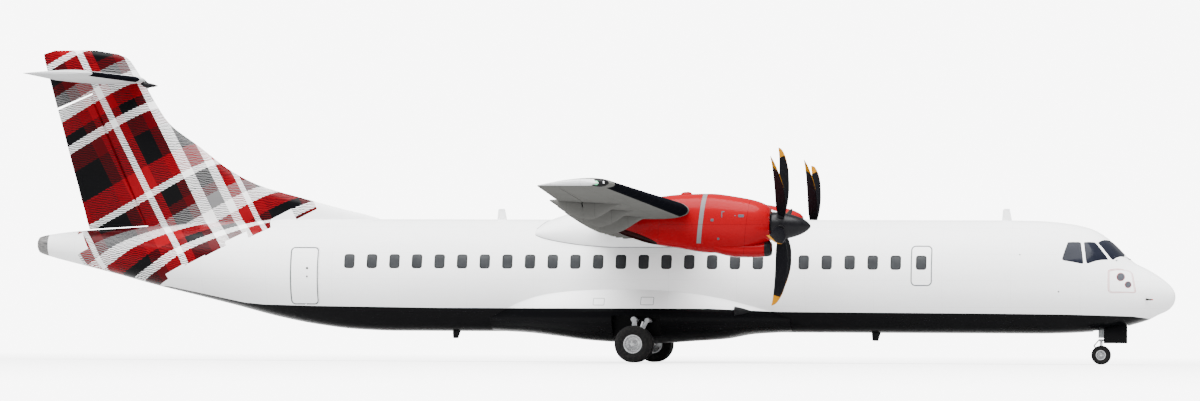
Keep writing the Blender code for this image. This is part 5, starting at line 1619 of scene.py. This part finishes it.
def makeMainGear(tag, side):
    spec = mainGear
    axle = Vector((station(spec["station"]), side * spec["track"] / 2, spec["radius"]))
    wheels = "main_wheels_" + tag
    parts = []
    for way, place in ((-1, "inner"), (1, "outer")):
        out = side * way
        centre = axle + Vector((0, out * spec["spacing"] / 2, 0))
        makeTyre(f"mainTyre_{place}_{tag}", centre, spec, wheels, f"main_tyre_{place}_{tag}")
        parts += makeRim(centre, out, spec)
        # Brake pack on the inner face of each wheel
        inset = Vector((0, out * spec["brakeInset"], 0))
        parts.append(lathed(spec["brake"], centre - inset, (0, -out, 0), 48))
    *ends, radius = spec["axle"]
    parts.append(rod(*[axle + Vector((0, y, 0)) for y in ends], radius, 32))
    finish("mainWheels_" + tag, parts, "wheelMetal", ["main_wheel_hubs_" + tag], 35, wheels)

    leg = [lathed(spec["boss"], axle, (0, 1, 0), 40)] + struts(axle, spec["leg"], side)
    finish("mainLeg_" + tag, leg, "strutPaint", ["main_gear_leg_" + tag], 35)
    finish("mainDamper_" + tag, struts(axle, spec["damper"], side), "chromeRod", (), 40)
    finish("brakePipes_" + tag, struts(axle, spec["pipes"], side), "blackTrim", (), 40)


def makeNoseGear():
    spec = noseGear
    axle = Vector((station(spec["station"]), 0, spec["radius"]))
    parts = []
    for tag, side in sides.items():
        centre = axle + Vector((0, side * spec["spacing"] / 2, 0))
        makeTyre("noseTyre_" + tag, centre, spec, "nose_wheels", "nose_tyre_" + tag)
        parts += makeRim(centre, side, spec)
        *ends, radius = spec["axle"]
        parts.append(rod(*[axle + Vector((0, side * y, 0)) for y in ends], radius, 24))
    finish("noseWheels", parts, "wheelMetal", ["nose_wheel_hubs"], 35, "nose_wheels")

    tow = block(*[(axle.x + x, y, z) for x, y, z in spec["tow"]], 0.008)
    fork = [lathed(spec["boss"], axle, (0, 1, 0), 32), tow] + struts(axle, spec["fork"])
    finish("noseFork", fork, "strutPaint", ["nose_steering_leg"], 35, "nose_steering")
    finish("nosePiston", struts(axle, spec["piston"]), "chromeRod", (), 40, "nose_steering")
    finish("noseLeg", struts(axle, spec["leg"]), "strutPaint", ["nose_gear_leg"], 35)
    place = (axle.x + spec["lampAhead"], 0, spec["lampHeight"])
    finish("taxiLamp", lathed(spec["lamp"], place, (1, 0, 0), 32), "chromeRod", (), 40)
    for tag, side in sides.items():
        near = noseBay["half"] + spec["doorGap"]
        door = sideBlock((noseBay["first"] + 0.03, spec["doorEnd"]), (near, near + spec["doorThick"]),
                         spec["doorHeights"], side, 0.006)
        finish("noseDoor_" + tag, door, "liveryPaint", ["nose_gear_door_" + tag], 35)


for tag, side in sides.items():
    makeMainGear(tag, side)
makeNoseGear()
print("landing gear made")


# Small fittings

# Station, foot, chord, height and paint
aerials = {
    "aerialRear": (15.80, 3.36, 0.24, 0.27, "whitePaint"),
    "aerialFront": (3.82, 3.35, 0.24, 0.30, "whitePaint"),
    "aerialBelly": (6.90, 0.73, 0.22, -0.20, "blackTrim"),
    "aerialBellyRear": (16.9, 0.73, 0.20, -0.18, "blackTrim"),
}
aerialMake = {"lean": 0.06, "thick": 0.012, "narrow": 0.35}
pitot = {"foot": 0.66, "head": 0.64, "height": 1.53, "out": 0.06}
# Station, half height and depth of the scoop at the front of the belly fairing
scoop = {"height": 1.205, "rows": [(9.80, 0.012, 0.004), (9.90, 0.04, 0.035), (10.05, 0.085, 0.07),
                                   (10.21, 0.118, 0.09), (10.22, 0.10, 0.07)]}
# Station, height and radius: static ports on the front, spots on the service door
ports = [(2.669, 1.695, 0.022), (3.572, 2.553, 0.018)]
doorSpots = [(20.37, 2.19, 0.030), (20.37, 1.99, 0.022)]
noseHatch = [(0.885, 1.672), (1.538, 1.666), (1.54, 2.201), (0.985, 2.188)]
noseVents = [(1.245, 2.046, 0.098), (1.075, 1.868, 0.079)]
# The tip lights' paint, place aft, outwards and up, half sizes and sides
tipLights = {
    "tipHousing": ("blackTrim", 0.245, 0.015, 0.008, (0.205, 0.085, 0.088), 32, 50),
    "tipLens": (None, 0.30, 0.062, 0.006, (0.075, 0.045, 0.052), 24, 60),
    "tipBulb": ("chromeRod", 0.15, 0.058, 0.004, (0.040, 0.036, 0.036), 24, 60),
}
tipShare = 0.985


def makeAerials():
    for name, (s, z, chord, height, paint) in aerials.items():
        rings = []
        for t in (0.0, 0.25, 0.5, 0.75, 0.93, 1.0):
            edge = s + aerialMake["lean"] * t
            half = chord * (1 - aerialMake["narrow"] * t) * (0.75 if t == 1.0 else 1.0) / 2
            rings.append([Vector((station(edge + half - half * math.cos(a)),
                                  aerialMake["thick"] * math.sin(a) * (1 - 0.5 * t), z + height * t))
                          for a in fullTurn(20)])
        finish(name, tube(rings), paint, (), 45)


def makePitots():
    # Pitot heads low on the nose, with red covers
    for tag, side in sides.items():
        foot = skinPoint(pitot["foot"], skinAngle(pitot["foot"], pitot["height"]), side, -0.01)
        bend = skinPoint(pitot["head"], skinAngle(pitot["head"], pitot["height"]), side, pitot["out"])
        ahead = [bend + Vector((x, 0, 0)) for x in (-0.06, 0.07, 0.0705, 0.11)]
        parts = [rod(foot, bend, 0.022, 14), rod(ahead[0], ahead[1], 0.018, 14)]
        finish("pitot_" + tag, parts, "darkMetal", (), 40)
        finish("pitotTip_" + tag, rod(ahead[2], ahead[3], 0.016, 14), "redPaint", (), 40)


def makeScoop(tag, side):
    rings = []
    for s, half, deep in scoop["rows"]:
        bottom, wide, rise = bellySection(s)
        wide = wide * math.sqrt(max(0.0, 1 - ((scoop["height"] - bellyMiddle) / rise) ** 2))
        rings.append([Vector((station(s), side * (wide - 0.03 + (deep + 0.03) * max(0.0, math.cos(a))),
                              scoop["height"] + half * math.sin(a))) for a in fullTurn(16)])
    finish("bellyScoop_" + tag, tube(rings), "blackTrim", (), 45)


def makeTipLights(tag, side):
    # A dark housing in the corner of the wing tip, with the navigation light and a clear bulb
    for name, (paint, aft, out, up, sizes, count, angle) in tipLights.items():
        centre = wingPoint(aft, up, tipShare * panel + out, tipShare, side)
        rings = []
        for i in range(17):
            a = math.pi * (i / 16 - 0.5)
            size = max(0.02, math.cos(a))
            rings.append([centre + Vector((sizes[0] * math.sin(a), sizes[1] * size * math.cos(b),
                                           sizes[2] * size * math.sin(b))) for b in fullTurn(count)])
        paint = paint or {"right": "greenLens", "left": "redLens"}[tag]
        finish(f"{name}_{tag}", tube(rings), paint, (), angle)


def spotOnSkin(s, z, r, side):
    corners = [(s + r * math.cos(a), skinAngle(s, z) * girth + r * math.sin(a)) for a in fullTurn(10)]
    return paneOnSkin(corners, side, r * 0.2, 0.001, 0.002, 0.006, 2)


def makeSpots():
    spots = [spotOnSkin(*port, side) for port in ports for side in sides.values()]
    finish("staticPorts", spots, "ventGrey", (), 40)
    spots = [spotOnSkin(*spot, doors["service_door"]["side"]) for spot in doorSpots]
    finish("serviceDoorSpots", spots, "darkMetal", (), 40, "service_door")


def makeNoseVents():
    # Two vents ringed in red on the starboard nose, in a thin red frame
    side, corners = sides["right"], cornersOf(noseHatch)
    frames = [rimOnSkin(corners, side, 0.11, 0.013, 0.0015, 0.01, 6),
              rimOnSkin(insetOutline(corners, 0.028), side, 0.09, 0.009, 0.0015, 0.01, 6)]
    finish("noseHatchFrame", frames, "paleRed", (), 40)
    discs, rings = [], []
    for s, z, r in noseVents:
        corners = cornersOf([(s + r * math.cos(a), z + r * math.sin(a)) for a in fullTurn(12)])
        discs.append(paneOnSkin(corners, side, r * 0.2, 0.002, 0.003, 0.01, 2))
        rings.append(rimOnSkin(corners, side, r * 0.2, 0.012, 0.0045, 0.01, 2))
    finish("noseVents", discs, "ventGrey", (), 40)
    finish("noseVentRings", rings, "redPaint", (), 40)


makeAerials()
makePitots()
for tag, side in sides.items():
    makeScoop(tag, side)
    makeTipLights(tag, side)
makeSpots()
makeNoseVents()
print("fittings made")


# Stage, lights and camera

studio = {"floor": 0.45, "glow": 3.2, "backdrop": 8.0, "world": 2.0, "inGloss": 0.6, "sun": 14.0,
          "fade": (14.0, 70.0), "floorSize": 1600}
view = {"place": (17.0, -132.9, 0.5), "aim": (0.0, 0.0, 3.83), "lens": 169.6, "roll": 0.27, "width": 1200,
        "height": 401}


def makeStage():
    pick()
    bpy.ops.mesh.primitive_plane_add(size=studio["floorSize"], location=(0, 0, 0))
    floor = newest()
    floor.name = "floor"
    floor.data.name = "floor"
    # The floor brightens with distance into the backdrop, to the camera alone, so that no horizon shows
    material, inputs, place, (x, y, z) = startMaterial("floorPaint", 0.8, 0.0, 0.0, 0.0)
    tree = material.node_tree
    low, high = ((studio["floor"] * k,) * 3 for k in (0.96, 1.0))
    feed(inputs["Base Color"], tint(noise(place, 0.2, 3.0), high, low))
    far = mapped(root(x * x + y * y), *studio["fade"])
    seen = Wire(addNode(tree, "ShaderNodeLightPath").outputs["Is Camera Ray"])
    backdrop = wired(tree, "ShaderNodeEmission", {"Strength": studio["backdrop"]})
    glow = wired(tree, "ShaderNodeEmission", {"Strength": seen * studio["glow"]})
    near = wired(tree, "ShaderNodeAddShader", {0: Wire(tree.nodes["Principled BSDF"].outputs[0]), 1: glow})
    whole = wired(tree, "ShaderNodeMixShader", {0: far * seen, 1: near, 2: backdrop})
    feed(tree.nodes["Material Output"].inputs[0], whole)
    floor.data.materials.append(material)

    world = bpy.data.worlds.new("studioSky")
    bpy.context.scene.world = world
    world.use_nodes = True
    sky = world.node_tree
    path = addNode(sky, "ShaderNodeLightPath").outputs
    strength = mixValue(Wire(path["Is Glossy Ray"]), studio["world"], studio["inGloss"])
    strength = mixValue(Wire(path["Is Camera Ray"]), strength, studio["backdrop"])
    feed(sky.nodes["Background"].inputs["Strength"], strength)
    feed(sky.nodes["Background"].inputs["Color"], (1.0, 1.0, 1.0, 1.0))

    lamp = bpy.data.lights.new("keyLight", "SUN")
    lamp.energy = studio["sun"]
    lamp.angle = math.radians(60)
    holder = bpy.data.objects.new("keyLight", lamp)
    holder.rotation_euler = [math.radians(a) for a in (18, -6, 5)]
    bpy.context.scene.collection.objects.link(holder)


def makeCamera():
    data = bpy.data.cameras.new("camera")
    data.lens = view["lens"]
    data.sensor_width = 36.0
    data.sensor_fit = "HORIZONTAL"
    data.clip_end = 3000.0
    camera = bpy.data.objects.new("camera", data)
    bpy.context.scene.collection.objects.link(camera)
    place, aim = Vector(view["place"]), Vector(view["aim"])
    facing = (aim - place).to_track_quat("-Z", "Y").to_matrix().to_4x4()
    roll = Matrix.Rotation(math.radians(view["roll"]), 4, "Z")
    camera.matrix_world = Matrix.Translation(place) @ facing @ roll
    bpy.context.scene.camera = camera


makeStage()
makeCamera()
print("stage made")
